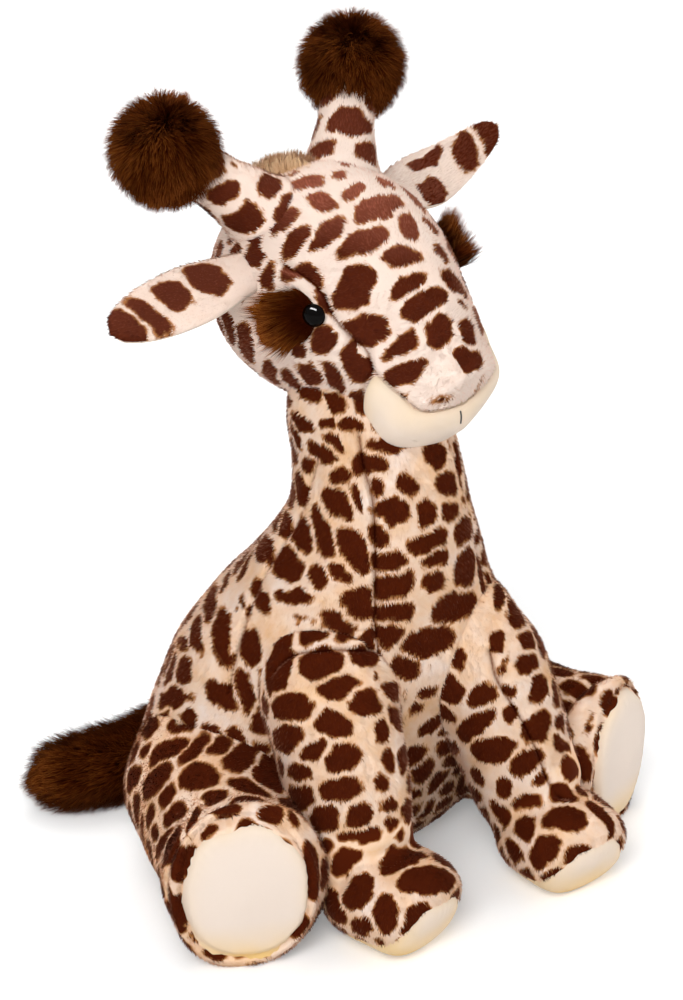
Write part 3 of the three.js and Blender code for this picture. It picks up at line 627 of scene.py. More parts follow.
# The dye drifts from cream to tan over 25 mm, and the locks of the pile mottle it over 3 mm.
drift = add_node(printed_plush, "TexNoise", {"Scale": 40.0, "Detail": 6.0, "Roughness": 0.65},
                 Vector=place)
warm = add_node(printed_plush, "MapRange", {"From Min": 0.3, "From Max": 0.68}, Value=drift)
tanned = add_node(printed_plush, "Math", {"operation": "MULTIPLY"}, _0=warm, _1=tan.outputs["Fac"])
cream = add_node(printed_plush, "Mix", {"data_type": "RGBA", 6: plush_cream, 7: plush_tan},
                 _0=tanned)
tip_light = add_node(printed_plush, "Math", {"operation": "MULTIPLY"},
                     _0=along.outputs["Fac"], _1=shade.outputs["Fac"])
brown = add_node(printed_plush, "Mix", {"data_type": "RGBA", 6: plush_brown, 7: plush_tip},
                 _0=tip_light)
# The brown is painted paler and redder where the pile faces up, on the crown most of all: a painted sheen standing
# for the top light grazing the pile.
painted_sheen_brown = add_node(printed_plush, "Mix", {"data_type": "RGBA", 7: plush_painted_sheen}, _0=pale.outputs["Fac"],
                   _6=brown.outputs[2])
# The dye bleeds into a tan rim, 1 mm wide, where a patch ends.
rim = add_node(printed_plush, "MapRange", {"From Max": 0.5}, Value=patch.outputs["Fac"])
inner = add_node(printed_plush, "MapRange", {"From Min": 0.5}, Value=patch.outputs["Fac"])
rimmed = add_node(printed_plush, "Mix", {"data_type": "RGBA", 7: plush_edge}, _0=rim,
                  _6=cream.outputs[2])
coat = add_node(printed_plush, "Mix", {"data_type": "RGBA"}, _0=inner,
                _6=rimmed.outputs[2], _7=painted_sheen_brown.outputs[2])
# In and beside the seams the colour is darkened: painted shade for the groove that the thread pulls in.
seam_painted_shade = add_node(printed_plush, "Mix", {"data_type": "RGBA", "blend_type": "MULTIPLY",
                                                    7: hex_colour("#8A6A58")},
                   _0=seam.outputs["Fac"], _6=coat.outputs[2])
plush_shader = add_node(printed_plush, "BsdfPrincipled",
                        {"Roughness": 0.85, "Specular IOR Level": 0.0, "Sheen Weight": 0.35,
                         "Sheen Roughness": 0.3, "Sheen Tint": hex_colour("#FFB08E")},
                        Base_Color=seam_painted_shade.outputs[2])
add_node(printed_plush, "OutputMaterial", Surface=plush_shader)


def paint(mesh, **values):
    """Values on the points of the mesh, one for all or one each, which its material reads by name."""
    for name, value in values.items():
        value = np.broadcast_to(value, len(mesh.vertices)).astype(np.float32)
        mesh.attributes.new(name, "FLOAT", "POINT").data.foreach_set("value", value)


def printed_cover(name, points, faces, body, cloth_print, seams, *nodes):
    """The backing cloth of a cover, printed like the pile that stands on it, with the same painted sheen and with
    painted shade in its seams.
    """
    mesh = new_mesh(name, points, faces, printed_plush)
    depth = cloth_print.depth(points)
    paint(mesh, patch=np.clip(0.5 + depth / (1.4 * mm), 0, 1), along=0.3, shade=0.5, tan=cloth_print.tan,
          pale=cloth_print.pale(outward(points, faces)) * 0.6,
          seam=np.exp(-(nearest_seam(points, seams) / (1.2 * mm)) ** 2))
    add_piece(name, mesh, body, "printed_plush", *nodes)


def fur(name, places, ways, comb, length, width, lean, curl, body, slot, material, values, rng):
    """Fur as fine tapering hairs lying over along the comb: short ones straight, long ones with a bend."""
    count = len(places)
    comb = comb - ways * (comb * ways).sum(1)[:, None]
    comb /= np.maximum(np.linalg.norm(comb, axis=1), 1e-9)[:, None]
    lean = np.broadcast_to(lean, count)[:, None]
    length = np.broadcast_to(length, count)[:, None]
    first = ways * np.cos(lean) + comb * np.sin(lean)
    flat = np.cross(first, ways)
    flat /= np.maximum(np.linalg.norm(flat, axis=1), 1e-9)[:, None]
    twist = rng.uniform(-0.7, 0.7, count)[:, None]
    flat = (flat * np.cos(twist) + np.cross(first, flat) * np.sin(twist)) * width / 2
    rows, along, loops, starts = [places - flat, places + flat], [0, 0], [0, 1, 2], [0]
    if curl:
        second = ways * np.cos(lean + curl) + comb * np.sin(lean + curl)
        bend = places + first * length * 0.5
        rows += [bend - flat * 0.8, bend + flat * 0.8, bend + second * length * 0.5]
        along += [0.5, 0.5]
        loops, starts = [0, 1, 3, 2, 2, 3, 4], [0, 4]
    else:
        rows.append(places + first * length)
    points = off_floor(np.stack(rows, 1))
    each = len(rows)
    mesh = bpy.data.meshes.new(name)
    mesh.vertices.add(count * each)
    mesh.vertices.foreach_set("co", points.astype(np.float32).ravel())
    hair = np.arange(count)[:, None]
    mesh.loops.add(count * len(loops))
    mesh.loops.foreach_set("vertex_index", (hair * each + loops).astype(np.int32).ravel())
    mesh.polygons.add(count * len(starts))
    mesh.polygons.foreach_set("loop_start", (hair * len(loops) + starts).astype(np.int32).ravel())
    mesh.update(calc_edges=True)
    mesh.validate()
    mesh.materials.append(material)
    mesh.shade_smooth()
    shown = ways + rng.normal(0, 0.16, (count, 3)) + comb * 0.1
    shown /= np.linalg.norm(shown, axis=1)[:, None]
    mesh.normals_split_custom_set_from_vertices(np.repeat(shown, each, 0).tolist())
    paint(mesh, along=np.tile(along + [1], count), **{key: np.repeat(value, each) for key, value in values.items()})
    add_piece(name, mesh, body, slot)


def combed(places, flow, seed):
    """The lie of the pile: one way over the panel, with soft swirls."""
    return flow + ripples(places, 22 * mm, seed) * 0.8 + ripples(places, 5 * mm, seed + 5) * 0.7


def printed_pile(name, points, faces, body, cloth_print, flow, seams, bare, seed, pitch=0.95):
    """The short pile of a printed cover, shorter along the seams. The real hairs are several times finer:
    they are drawn 0.6 mm wide, one every pitch millimetres, so that they show."""
    rng = np.random.default_rng(seed)
    area = np.linalg.norm(triangles(points, faces)[1], axis=1).sum() / 2
    places, ways = sown(points, faces, int(area / (pitch * mm) ** 2), rng)
    seam_far = nearest_seam(places, seams)
    stay = (places[:, 2] > 0.8 * mm) & ~bare(places, ways) & (seam_far > 0.6 * mm)
    places, ways, seam_far = places[stay], ways[stay], seam_far[stay]
    count = len(places)
    depth = cloth_print.depth(places) + rng.normal(0, 0.35 * mm, count)
    length = rng.uniform(1.5, 2.7, count) * mm * (1 - 0.6 * np.exp(-(seam_far / (2.0 * mm)) ** 2))
    locks = ripple(places, 3.2 * mm, seed + 9)
    values = {"patch": np.clip(0.5 + depth / (1.1 * mm), 0, 1), "tan": np.full(count, cloth_print.tan),
              # The cover's painted sheen, a little different on each hair.
              "pale": cloth_print.pale(ways) * rng.uniform(0.6, 1.2, count),
              "shade": np.clip(rng.uniform(0, 1, count) ** 1.5 * 0.8 + locks * 0.45, 0, 1),
              # Painted shade in and beside the seam's groove.
              "seam": np.exp(-(seam_far / (1.2 * mm)) ** 2) * 0.8}
    fur(name, places, ways, combed(places, np.asarray(flow, float), seed), length, 0.6 * mm,
        rng.uniform(0.7, 1.15, count), 0, body, "printed_plush", printed_plush, values, rng)


def deep_inside(places, trees, depth=8 * mm):
    """Places that lie well inside a neighbour, where nobody sees the pile."""
    hidden = np.zeros(len(places), bool)
    for tree in trees:
        for i, p in enumerate(places):
            if hidden[i]:
                continue
            spot, normal, _, distance = tree.find_nearest(Vector(p), 120 * mm)
            if spot is not None and distance > depth and (Vector(p) - spot).dot(normal) < 0:
                hidden[i] = True
    return hidden


printed_cover("body_cover_plush", body_points, body_faces, "torso", body_print, body_threads, "body_cover")
limb_trees = list(front_trees.values()) + list(hind_trees.values())
printed_pile("body_pile", body_points, body_faces, "torso", body_print, (0, 0, -1), body_threads,
             lambda places, ways: deep_inside(places, limb_trees), 21)


# Legs: each is a tube of the same printed plush, stuffed and sewn to the body at its top. The pile
# runs down the leg, and a smooth cloth sole closes the foot, gathered round its edge.

# Brushed polyester cloth: matt and even, with no gloss but a faint bloom. It is cream, and yellower
# where it is worn, at the rim and near the floor.
cream_light, cream_deep = hex_colour("#E5D5C8"), hex_colour("#EEC985")
sole_cloth = new_material("brushed_polyester_sole_cloth")
sole_place = add_node(sole_cloth, "NewGeometry")
# The nap of the cloth is 0.3 mm, drawn at 0.8 mm so that it shows; the wear stain is 30 mm wide.
nap = add_node(sole_cloth, "TexNoise", {"Scale": 1250.0, "Detail": 2.0}, Vector=sole_place)
stain = add_node(sole_cloth, "TexNoise", {"Scale": 33.0, "Detail": 2.0}, Vector=sole_place)
edge = add_node(sole_cloth, "Attribute", {"attribute_name": "edge"})
worn = add_node(sole_cloth, "Math", {"operation": "MULTIPLY"}, _0=stain, _1=edge.outputs["Fac"])
sole_tone = add_node(sole_cloth, "Mix", {"data_type": "RGBA", 6: cream_light, 7: cream_deep}, _0=worn)
sole_bump = add_node(sole_cloth, "Bump", {"Strength": 0.25, "Distance": 0.0004}, Height=nap)
sole_shader = add_node(sole_cloth, "BsdfPrincipled",
                       {"Roughness": 0.8, "Specular IOR Level": 0.0, "Sheen Weight": 0.2, "Sheen Roughness": 0.5},
                       Base_Color=sole_tone.outputs[2], Normal=sole_bump)
add_node(sole_cloth, "OutputMaterial", Surface=sole_shader)


def frame_across(axis):
    """Two unit directions across an axis, sideways and up, and the axis."""
    axis = np.array(axis, float) / np.linalg.norm(axis)
    side = np.cross((0, 0, 1), axis)
    side /= np.linalg.norm(side)
    return side, np.cross(axis, side), axis


sole_squareness = 2.2


def sole_reach(places, centre, axis, half_wide, half_high):
    """1 on the rim of a sole, less inside it; and how far each place lies along the axis."""
    side, up, axis = frame_across(axis)
    off = places - centre
    shares = np.abs(off @ side / half_wide) ** sole_squareness + np.abs(off @ up / half_high) ** sole_squareness
    return shares ** (1 / sole_squareness), off @ axis


def sole(name, skin_tree, centre, axis, half_wide, half_high, body, node):
    """A rounded sole of smooth cloth laid on the foot, tucked in and puckered at its rim."""
    side, up, axis = frame_across(axis)
    rings, spokes = 30, 144
    points, rim = [], []
    for ring in range(rings + 1):
        reach = (ring / rings) ** 0.8
        for spoke in range(spokes if ring else 1):
            angle = 2 * math.pi * spoke / spokes
            across, upward = math.cos(angle), math.sin(angle)
            grown = abs(across) ** sole_squareness + abs(upward) ** sole_squareness
            grown = reach / grown ** (1 / sole_squareness)
            wobble = 1.01 + 0.02 * math.sin(angle * 7 + half_wide * 900) + 0.012 * math.sin(angle * 5 + 1)
            place = centre + (side * half_wide * across + up * half_high * upward) * grown * wobble
            hit, normal, _, _ = skin_tree.ray_cast(Vector(place + axis * (70 * mm)), Vector(-axis))
            base = np.array(hit) if hit else np.array(points[-spokes])
            pucker = 0.35 * mm * math.sin(angle * 30 + 3 * math.sin(angle * 5)) * max(reach - 0.75, 0) / 0.25
            plump = 2.2 * mm * (1 - reach ** 5) - 1.8 * mm * max(reach - 0.92, 0) / 0.08
            points.append(base + axis * (plump + pucker + 0.5 * mm))
            rim.append(reach)
    faces = [[0, 1 + k, 1 + (k + 1) % spokes] for k in range(spokes)]
    for ring in range(rings - 1):
        a, b = 1 + ring * spokes, 1 + (ring + 1) * spokes
        faces += [[a + k, b + k, b + (k + 1) % spokes, a + (k + 1) % spokes] for k in range(spokes)]
    points = off_floor(np.array(points), 0.4 * mm)
    mesh = new_mesh(name, points, faces, sole_cloth)
    low = np.clip(1 - (points[:, 2] - points[:, 2].min()) / (30 * mm), 0, 1)
    paint(mesh, edge=np.clip(np.array(rim) ** 8 * 0.7 + low ** 1.5 * 2.2, 0, 2))
    add_piece(name, mesh, body, "cream_cloth", node)


def dressed_leg(kind, word, points, faces, leg_print, flow, threads, foot, facing, seed):
    """A leg's printed cover, its pile and its sole. The foot is the sole's middle, axis and half sizes."""
    def bare(places, ways):
        on_sole = (sole_reach(places, *foot)[0] < 0.99) & (ways @ foot[1] > facing)
        return on_sole | deep_inside(places, [body_tree])

    limb = f"{kind}_limb_{word}"
    printed_cover(f"{kind}_leg_plush_{word}", points, faces, limb, leg_print, threads, f"{kind}_leg_{word}")
    printed_pile(f"{kind}_leg_pile_{word}", points, faces, limb, leg_print, flow, threads, bare, seed)
    sole(f"{kind}_sole_cloth_{word}", tree_of(points, faces), *foot, limb, f"{kind}_sole_{word}")


def one_panel(places):
    """No seam of a limb breaks its print."""
    return np.zeros(len(places), int)


front_patches = {
    "right": [
        (-64, 15, 154, 11, -3, 4, 9), (-77, 37, 146, 11, 6, 13, 12), (-40, 2, 142, 4, 3, 1, 2),
        (-62, 2, 142, 11, -4, 1, 6), (-51, -6, 134, 10, -2, -3, 7), (-84, 17, 131, -6, 13, -4, 7),
        (-31, 1, 130, 9, 4, -5, 6), (-71, -5, 125, 7, -6, -4, 7), (-31, -5, 118, 7, 3, -7, 6),
        (-46, -12, 118), (-87, 18, 112, -2, 11, -9, 7), (-81, 0, 111, -5, 6, -5, 5),
        (-70, -12, 109, 7, -3, 5, 8), (-45, -18, 101), (-86, 8, 95, -2, 8, -6, 7),
        (-74, -14, 92, 10, -7, 3, 7), (-85, 26, 92), (-53, -22, 91),
        (-85, 6, 81, -1, 9, -7, 9), (-51, -24, 81, -5, 1, 6, 5), (-67, -21, 78, 6, -2, 6, 7),
        (-81, -8, 74, 4, -7, 8, 8), (-48, -27, 69, 5, -1, -4, 4), (-68, -24, 67, 11, -7, 0, 5),
        (-43, -30, 61), (-81, -11, 60), (-77, -22, 53, 6, -4, 9, 7),
        (-46, -34, 52, 19, 3, -1, 7), (-43, -50, 43, 18, 0, -5, 8), (-79, -34, 42, 7, 2, 9, 9),
        (-73, -53, 35, -2, 5, 9, 8), (-86, -20, 26, 1, 11, 8, 9), (-86, -42, 22, 1, -5, 11, 9),
        (-76, -51, 18, 4, -1, -2, 4)],
    "left": [
        (52, 14, 157, 7, 9, 3, 4), (30, 10, 152, 9, 2, 7, 3), (58, 7, 148, 5, 9, 4, 8),
        (38, -3, 141), (58, -4, 137, 7, 3, 0, 6), (18, 5, 133, 3, 0, 7, 6),
        (37, -9, 129, 6, 1, 6, 3), (52, -11, 127, 9, 1, -1, 6), (37, -14, 117, 5, -2, -1, 4),
        (26, -8, 115, 6, -4, 6, 7), (56, -17, 112, 6, 4, 6, 7), (36, -17, 104, -2, 2, 5, 5),
        (22, -5, 96, 6, -9, 12, 6), (50, -23, 94, 9, 1, 6, 8), (29, -14, 83, -9, 9, -4, 7),
        (67, -25, 78, 8, 1, -7, 5), (42, -24, 76, 7, -2, 6, 8), (48, -29, 65),
        (26, -4, 62), (33, -19, 60), (51, -47, 46, 9, -8, -1, 8),
        (73, -53, 42, -1, 8, 9, 6), (36, -50, 33, 7, -3, 7, 8)]}
front_leg_seams = {
    "right": [leg_top],
    "left": [in_place([(32.8, -3.9, 137.2), (32.8, -10.5, 122.4), (41.3, -19.6, 101.5), (48.3, -25.4, 80.7),
                       (53.7, -33.4, 60.6), (63, -37, 50)])]}
ankle_folds = {"right": in_place([(-84, -22, 40), (-76, -27, 50), (-62, -30, 54), (-48, -31, 54), (-34, -26, 49)]),
               "left": in_place([(34, -22, 44), (44, -30, 52), (60, -34, 55), (76, -30, 52), (88, -22, 42)])}
for word, (side, shoulder, foot, setback, turned_in) in leg_places.items():
    points, faces = front_legs[word]
    points = filleted(points, faces, [body_tree], 17 * mm)
    points += outward(points, faces) * (ripple(points, 30 * mm, 2 + side) * 1.5 * mm)[:, None]
    points, faces = worked(points, faces, "SUBSURF", levels=1)
    points, _ = sewn(points, faces, [ankle_folds[word]], 4.5 * mm, 2.2 * mm)
    points, threads = sewn(points, faces, front_leg_seams[word], 2.0 * mm, 2.6 * mm)
    points = off_floor(round_filling(points, f"front_leg_filling_{word}"))
    centre = in_place([side * front_foot_out(foot, turned_in, 1 - foot_half_width / front_reach),
                       shoulder_back - front_reach + setback + foot_half_width, foot_half_height])
    tilt, turn = math.radians(48), math.radians(side * turned_in)
    axis = np.array([-math.cos(tilt) * math.sin(turn), -math.cos(tilt) * math.cos(turn), -math.sin(tilt)])
    leg_print = Print(points, faces, one_panel, [((1, 0.2, 0), 1.3, (11, 16), (2.2, 4), (8.5, 12.5))], 31 + side,
                      laid(front_patches[word]))
    dressed_leg("front", word, points, faces, leg_print, (0, -0.35, -1), threads, (centre, axis, 29 * mm, 32 * mm),
                0.1, 33 + side)


hind_patches = {
    "right": [
        (-78, 96, 95), (-92, 74, 95), (-78, 81, 94),
        (-104, 93, 92, -1, 12, -1, 6), (-111, 71, 91, 11, 5, 4, 7), (-94, 48, 91, 15, 7, 1, 8),
        (-120, 50, 86, -7, 11, -3, 9), (-117, 86, 85, 9, -9, 8, 8), (-104, 24, 85, -8, 11, 3, 7),
        (-126, 29, 86, 0, 9, -1, 7), (-87, 32, 84, 7, 16, 4, 9), (-133, 3, 93, 3, -14, 4, 5),
        (-113, -9, 89, 6, -2, -2, 6), (-102, -13, 83, 1, -4, -4, 4.5), (-120, 106, 77),
        (-142, 22, 80, -11, -11, -1, 3.5), (-145, 3, 83, -4, 0, -4, 4),
        (-94, 3, 76, 11, 15, -1, 8), (-135, 61, 74, 5, -1, 6, 6), (-131, 79, 73, -4, 9, -9, 9),
        (-139, 46, 71, -1, 9, -4, 7), (-157, 8, 66, -5, 0, -9, 7.5), (-155, 2, 50, 1, -1, -7, 3),
        (-140, 69, 60), (-147, 46, 57, 2, -8, 14, 4), (-144, 59, 56, 1, -2, 5, 5),
        (-97, -22, 56, 0, -3, -16, 5.5), (-162, 10, 36, -1, -8, -14, 7), (-108, -20, 22, -5, 3, -7, 5.5),
        (-145, 1, 10, 7, -3, -3, 3.5), (-121, -13, 8, -3, 0, 4, 2)],
    "left": [
        (126, -1, 85, 2, 6, 1, 3), (108, 8, 84, -1, 13, 2, 8), (130, -7, 81, 2, 3, 2, 2),
        (99, -10, 73, 6, 4, 8, 5)]}
for word, (side, turned_out, foot_out, haunch) in haunch_places.items():
    foot_lift = 1 if side < 0 else 0.3
    hind_sole = (33 * mm, (38 + 3.5 * foot_lift) * mm)
    points, faces = hind_legs[word]
    points = filleted(points, faces, [body_tree], 12 * mm)
    points = filleted(points, faces, [front_trees[word]], 8 * mm)
    points += outward(points, faces) * (ripple(points, 34 * mm, 6 + side) * 1.7 * mm)[:, None]
    points, faces = worked(points, faces, "SUBSURF", levels=1)
    centre = in_place([side * (0.985 * foot_out * knee_out - 1.5), hip_back - 0.975 * hind_reach,
                       43 + 2.5 * foot_lift])
    splay = math.radians(side * turned_out)
    axis = np.array([math.sin(splay), -math.cos(splay), 0])
    # The foot stands up a little. Its plush is gathered by a seam 17 mm behind the sole and swells into
    # a rim before it.
    reach, ahead = sole_reach(points, centre, axis, 33 * mm, 38 * mm)
    stand = np.clip((ahead / mm + 50) / 40, 0, 1) ** 2 * np.clip((points[:, 2] / mm - 15) / 60, 0, 1)
    points[:, 2] += stand * 6 * foot_lift * mm
    gathered = np.exp(-((ahead + 17 * mm) / (3 * mm)) ** 2) * (3.9 + 1.4 * ripple(points, 18 * mm, 8))
    swollen = np.exp(-((ahead + 7 * mm) / (6 * mm)) ** 2) * 3.4 * (reach > 1)
    tucked = np.exp(-((reach - 1.0) / 0.06) ** 2) * (ahead > -12 * mm) * 3.0
    points += outward(points, faces) * ((swollen - gathered) * mm)[:, None] - axis * (tucked * mm)[:, None]
    points = off_floor(round_filling(points, f"hind_leg_filling_{word}"))
    leg_print = Print(points, faces, one_panel, [((0, -0.3, 1), 1.35, (11, 16), (2.2, 4), (8.5, 12.5))], 41 + side,
                      laid(hind_patches[word]))
    dressed_leg("hind", word, points, faces, leg_print, (0, -1, -0.5), [], (centre, axis, *hind_sole), 0.2, 43 + side)


# Head cover: printed plush from several panels, with a dart from over each eye to the corner of
# the mouth. It is stuffed hard and sewn onto the open top of the neck, nodding and turned a little.
nod, roll, yaw = (math.radians(a) for a in (20, -8, 12.5))
head_turn = np.array(Matrix.Rotation(yaw, 3, "Z") @ Matrix.Rotation(nod, 3, "X") @ Matrix.Rotation(roll, 3, "Y"))

head_middle = (0, 98, 330)


def on_head(points):
    """Millimetres in the head's own frame, nose along -Y, to metres in the frame."""
    return in_place(np.asarray(points, float) @ head_turn.T + head_middle)


def in_head(places):
    """Metres in the frame back to millimetres in the head's own frame."""
    return (places / mm + middle - head_middle) @ head_turn


def above_lips(p, slope=math.radians(29)):
    """Millimetres above the line of the lips, in the head's own frame."""
    return (p[:, 2] - 3) * math.cos(slope) - (p[:, 1] + 70) * math.sin(slope)


def both_sides(half):
    """A curve from one side to the middle, and its mirror image from there on."""
    return on_head(half + [(-x, y, z) for x, y, z in half[-2::-1]])


head_stations = [(0, 59, -8, 0, 0), (0, 53, -8, 32, 34), (0, 28, -7, 54, 57), (0, 0, -4, 60, 63),
                 (0, -28, -4, 57, 59), (0, -56, -10, 47, 49), (0, -78, -18, 38, 38), (0, -94, -25, 31, 29),
                 (0, -103, -28, 0, 0)]
head_points, head_faces = stuffed(head_stations, (1, 0, 0), 150, 130)
head_points = on_head(head_points)
head_faces = facing_out(head_points, head_faces)
head_plain_tree = tree_of(head_points, head_faces)
dart = [(-48.1, -8, 33.7), (-46.6, -16, 34.6), (-45.3, -24, 34.2), (-44.9, -34.8, 30.9), (-45.8, -41, 25.7),
        (-44.6, -49, 20.8), (-42.2, -58, 15.9), (-39.8, -65, 12.9), (-39.7, -71.5, 4)]
darts = [on_head(np.array(dart) * (side, 1, 1)) for side in (1, -1)]
jaw = both_sides([(-39.7, -71.5, 4), (-41, -70, -14), (-37, -71, -26), (-22, -71, -38), (0, -71, -44)])
lip = both_sides([(-39.7, -71.5, 3), (-35, -83, -4), (-25, -97, -12), (-12, -102, -15), (0, -104, -16)])
head_points += outward(head_points, head_faces) * (ripple(head_points, 34 * mm, 9) * 1.2 * mm)[:, None]
head_points, head_faces = worked(head_points, head_faces, "SUBSURF", levels=1)
# Above the lips the muzzle is a little narrower than the chin under it.
p = in_head(head_points)
narrow = 0.085 * np.clip((-p[:, 1] - 15) / 50, 0, 1) * np.clip(above_lips(p) / 12, 0, 1)
head_points = on_head(p * np.stack([1 - narrow, 1 + 0 * narrow, 1 + 0 * narrow], 1))
head_points, head_threads = sewn(head_points, head_faces, darts + [jaw, lip], 2.2 * mm, 2.8 * mm)
dart_threads = head_threads[:2]
head_points = round_filling(head_points, "head_filling")


def chin_reach(places):
    """Millimetres inside the chin panel, below the lips and ahead of the jaw seam, its corner rounded."""
    p, corner = in_head(places), 3
    both = [np.exp(np.clip(off, -60, 60) / corner) for off in (above_lips(p), p[:, 1] + 71)]
    return 1 - corner * np.log(both[0] + both[1])


def head_panel(places):
    """0 the forehead and muzzle between the darts, 1 the right cheek, 2 the left cheek."""
    p = in_head(places)
    rise = np.interp(p[:, 1], [-103, -71, -49, -35, -8, 40], [-20, 4, 20, 30, 34, 30])
    return np.where(p[:, 2] > rise, 0, np.where(p[:, 0] < 0, 1, 2))


def eye_patch_reach(places, side):
    """1 on the edge of the long fur behind an eye, less inside it."""
    p = in_head(places)
    back_from, lift = (-26, 15.5) if side < 0 else (-33, 16)
    return np.where(p[:, 0] * side > 0, np.hypot((p[:, 1] - back_from) / 12.5, (p[:, 2] - lift) / 12), 9)


head_patches = [
    (1, -6, 59, 8, 2, 0, 4), (5, 9, 58, 6, 2, -1, 3), (5, -21, 57, 17, 0, -1, 7),
    (-12, 16, 56, 8, -5, 3, 6), (-17, 0, 56, 0, 9, 0, 6), (-8, 27, 53, 3, 2, 0, 3),
    (20, 18, 53), (25, -6, 53), (-18, -32, 52, 14, -2, 4, 7),
    (-27, -16, 51, 11, 0, 6, 5), (-5, -50, 48, 9, -5, -1, 6), (-35, 7, 46, 8, -2, 6, 5),
    (28, -38, 45), (-39, -6, 44, 7, 0, 6, 5), (-31, 27, 44),
    (20, -54, 42), (-10, -61, 41, 11, 0, 3, 5), (-34, -45, 37, 9, 4, 11, 9),
    (-46, 14, 35), (-8, -72, 34, 15, -1, 3, 6), (18, -69, 32, 9, -4, -7, 6),
    (-50, 9, 29, 1, 7, -1, 6), (15, -78, 28, -2, 3, 4, 3), (-52, -4, 27),
    (-8, -84, 25, 7, 3, 5, 7), (-38, -59, 22, -7, 12, 0, 9), (-52, 22, 21),
    (10, -90, 18, -3, 4, 5, 6), (-28, -77, 18, 9, -4, 7, 6), (-57, 10, 12),
    (2, -99, 11, 10, -3, -4, 6), (-50, -45, 10, 2, -1, 9, 6), (-29, -86, 7, 8, -6, 5, 8),
    (-43, -64, 5, 1, 3, 11, 9), (-55, -34, 0), (-18, -102, -7, 5, -1, -4, 2),
    (-48, -54, -9, -3, 6, 8, 7), (-51, -41, -14, 0, -6, 9, 8), (-42, -66, -19),
    (-56, 15, -20, -3, 1, 12, 6), (-58, 0, -20, -3, 0, 16, 7), (-52, -30, -25, -3, -2, 9, 6),
    (-52, -17, -32, -5, -3, 12, 6)]
# Each nostril mark's middle, half sizes across, along and up the muzzle, and strength. The left
# nostril slants, and is drawn as two.
nostrils = [((-17.5, -102.5, -4), (6.5, 9, 3), 1.15), ((9, -103.5, -11), (2.5, 9, 3.5), 0.7),
            ((11, -103.7, -5), (2.5, 9, 3.5), 0.7)]


class HeadPrint(Print):
    """The head's print: no patches at the tip of the muzzle, where two nostrils are airbrushed."""
    tan = 0.05

    def pale(self, ways):
        # A painted sheen: the brown paler and redder where the pile faces up, strongest on the crown under the top
        # light.
        return 0.14 + 0.9 * np.clip((ways[:, 2] - 0.58) / 0.35, 0, 1) ** 1.25

    def depth(self, places):
        p = in_head(places)
        plain = np.minimum(-p[:, 1] - 90, np.interp(p[:, 0], [-8, -3], [22, 3]) - p[:, 2]) * mm
        out = np.minimum(super().depth(places), -plain)
        speckle = ripple(places, 2.2 * mm, 58)
        for middle_at, halves, strength in nostrils:
            far = np.linalg.norm((p - middle_at) / halves, axis=1)
            out = np.maximum(out, np.where(far < 1.3, ((1 - far + speckle * 0.35) * strength - 0.4) * mm, -1))
        return out


forehead = (head_turn @ (1, 0.35, 0.2), 1.3, (14, 20), (3.2, 5.5), (9, 13))
cheek = (head_turn @ (0, -0.5, -1), 1.6, (11, 15), (2.6, 4.2), (8, 12))
head_print = HeadPrint(head_points, head_faces, head_panel, [forehead, cheek, cheek], 53,
                       laid(head_patches, on_head, head_turn, (1, 2, 7, 5)))
printed_cover("head_cover_plush", head_points, head_faces, "head", head_print, head_threads, "head_cover")
printed_pile("head_pile", head_points, head_faces, "head", head_print, head_turn @ (0, 0.8, -0.5), dart_threads,
             lambda places, ways: (chin_reach(places) > 0.3) | deep_inside(places, [body_tree], 5 * mm)
             | (eye_patch_reach(places, -1) < 0.9) | (eye_patch_reach(places, 1) < 0.9), 55, 0.9)


# Chin panel: smooth cream cloth from one corner of the mouth to the other, stuffed out a little
# between the lip seam and the jaw seam. The plush of the muzzle overhangs its top edge.
chin_faces = [face for face in head_faces if chin_reach(head_points[face]).max() > 0]
used = np.unique(np.concatenate(chin_faces))
renumber = {int(old): new for new, old in enumerate(used)}
chin_faces = [[renumber[k] for k in face] for face in chin_faces]
chin_out, chin_points = outward(head_points, head_faces)[used], head_points[used]
# Points just outside the panel's edge are drawn in to it.
for _ in range(3):
    reach = chin_reach(chin_points)
    slope = np.stack([chin_reach(chin_points + step) - reach for step in np.eye(3) * 0.1 * mm], 1) / 0.1
    slope -= chin_out * (slope * chin_out).sum(1)[:, None]
    short = np.minimum(reach, 0) / np.maximum((slope ** 2).sum(1), 0.2)
    chin_points = chin_points - slope * short[:, None] * mm
inside = np.maximum(chin_reach(chin_points), 0)
fuller = 1 - 0.1 * np.clip(in_head(chin_points)[:, 0] / 25, -1, 1)
stuffed_out = 0.9 + 4.6 * (1 - np.exp(-inside / 5)) * fuller - 1.8 * np.exp(-inside / 1.2)
chin_points += chin_out * (stuffed_out * mm)[:, None]
chin_mesh = new_mesh("chin_cloth", chin_points, chin_faces, sole_cloth)
paint(chin_mesh, edge=np.clip(0.65 - inside / 25, 0.2, 0.65))
add_piece("chin_cloth", chin_mesh, "head", "cream_cloth", "chin_panel")


# Horns: short tubes of the same printed plush, stuffed and sewn to the crown. Each ends in a round
# pompom of long dark brown fur with ginger tips, gathered into a ball and sewn to the stem.

# Long acrylic fur, dyed dark brown, its tips left ginger: nearly black between the hairs, warm where
# their ends catch the light, and silky more than glossy.
fur_root, fur_mid, fur_tip = hex_colour("#170500"), hex_colour("#3C1203"), hex_colour("#B5672C")
brown_fur = new_material("long_pile_acrylic_fur_brown")
fur_along = add_node(brown_fur, "Attribute", {"attribute_name": "along"})
fur_shade = add_node(brown_fur, "Attribute", {"attribute_name": "shade"})
fur_low = add_node(brown_fur, "Mix", {"data_type": "RGBA", 6: fur_root, 7: fur_mid}, _0=fur_along.outputs["Fac"])
tip_only = add_node(brown_fur, "Math", {"operation": "POWER", 1: 2.6}, _0=fur_along.outputs["Fac"])
tip_some = add_node(brown_fur, "Math", {"operation": "MULTIPLY"}, _0=tip_only, _1=fur_shade.outputs["Fac"])
fur_tone = add_node(brown_fur, "Mix", {"data_type": "RGBA", 7: fur_tip}, _0=tip_some, _6=fur_low.outputs[2])
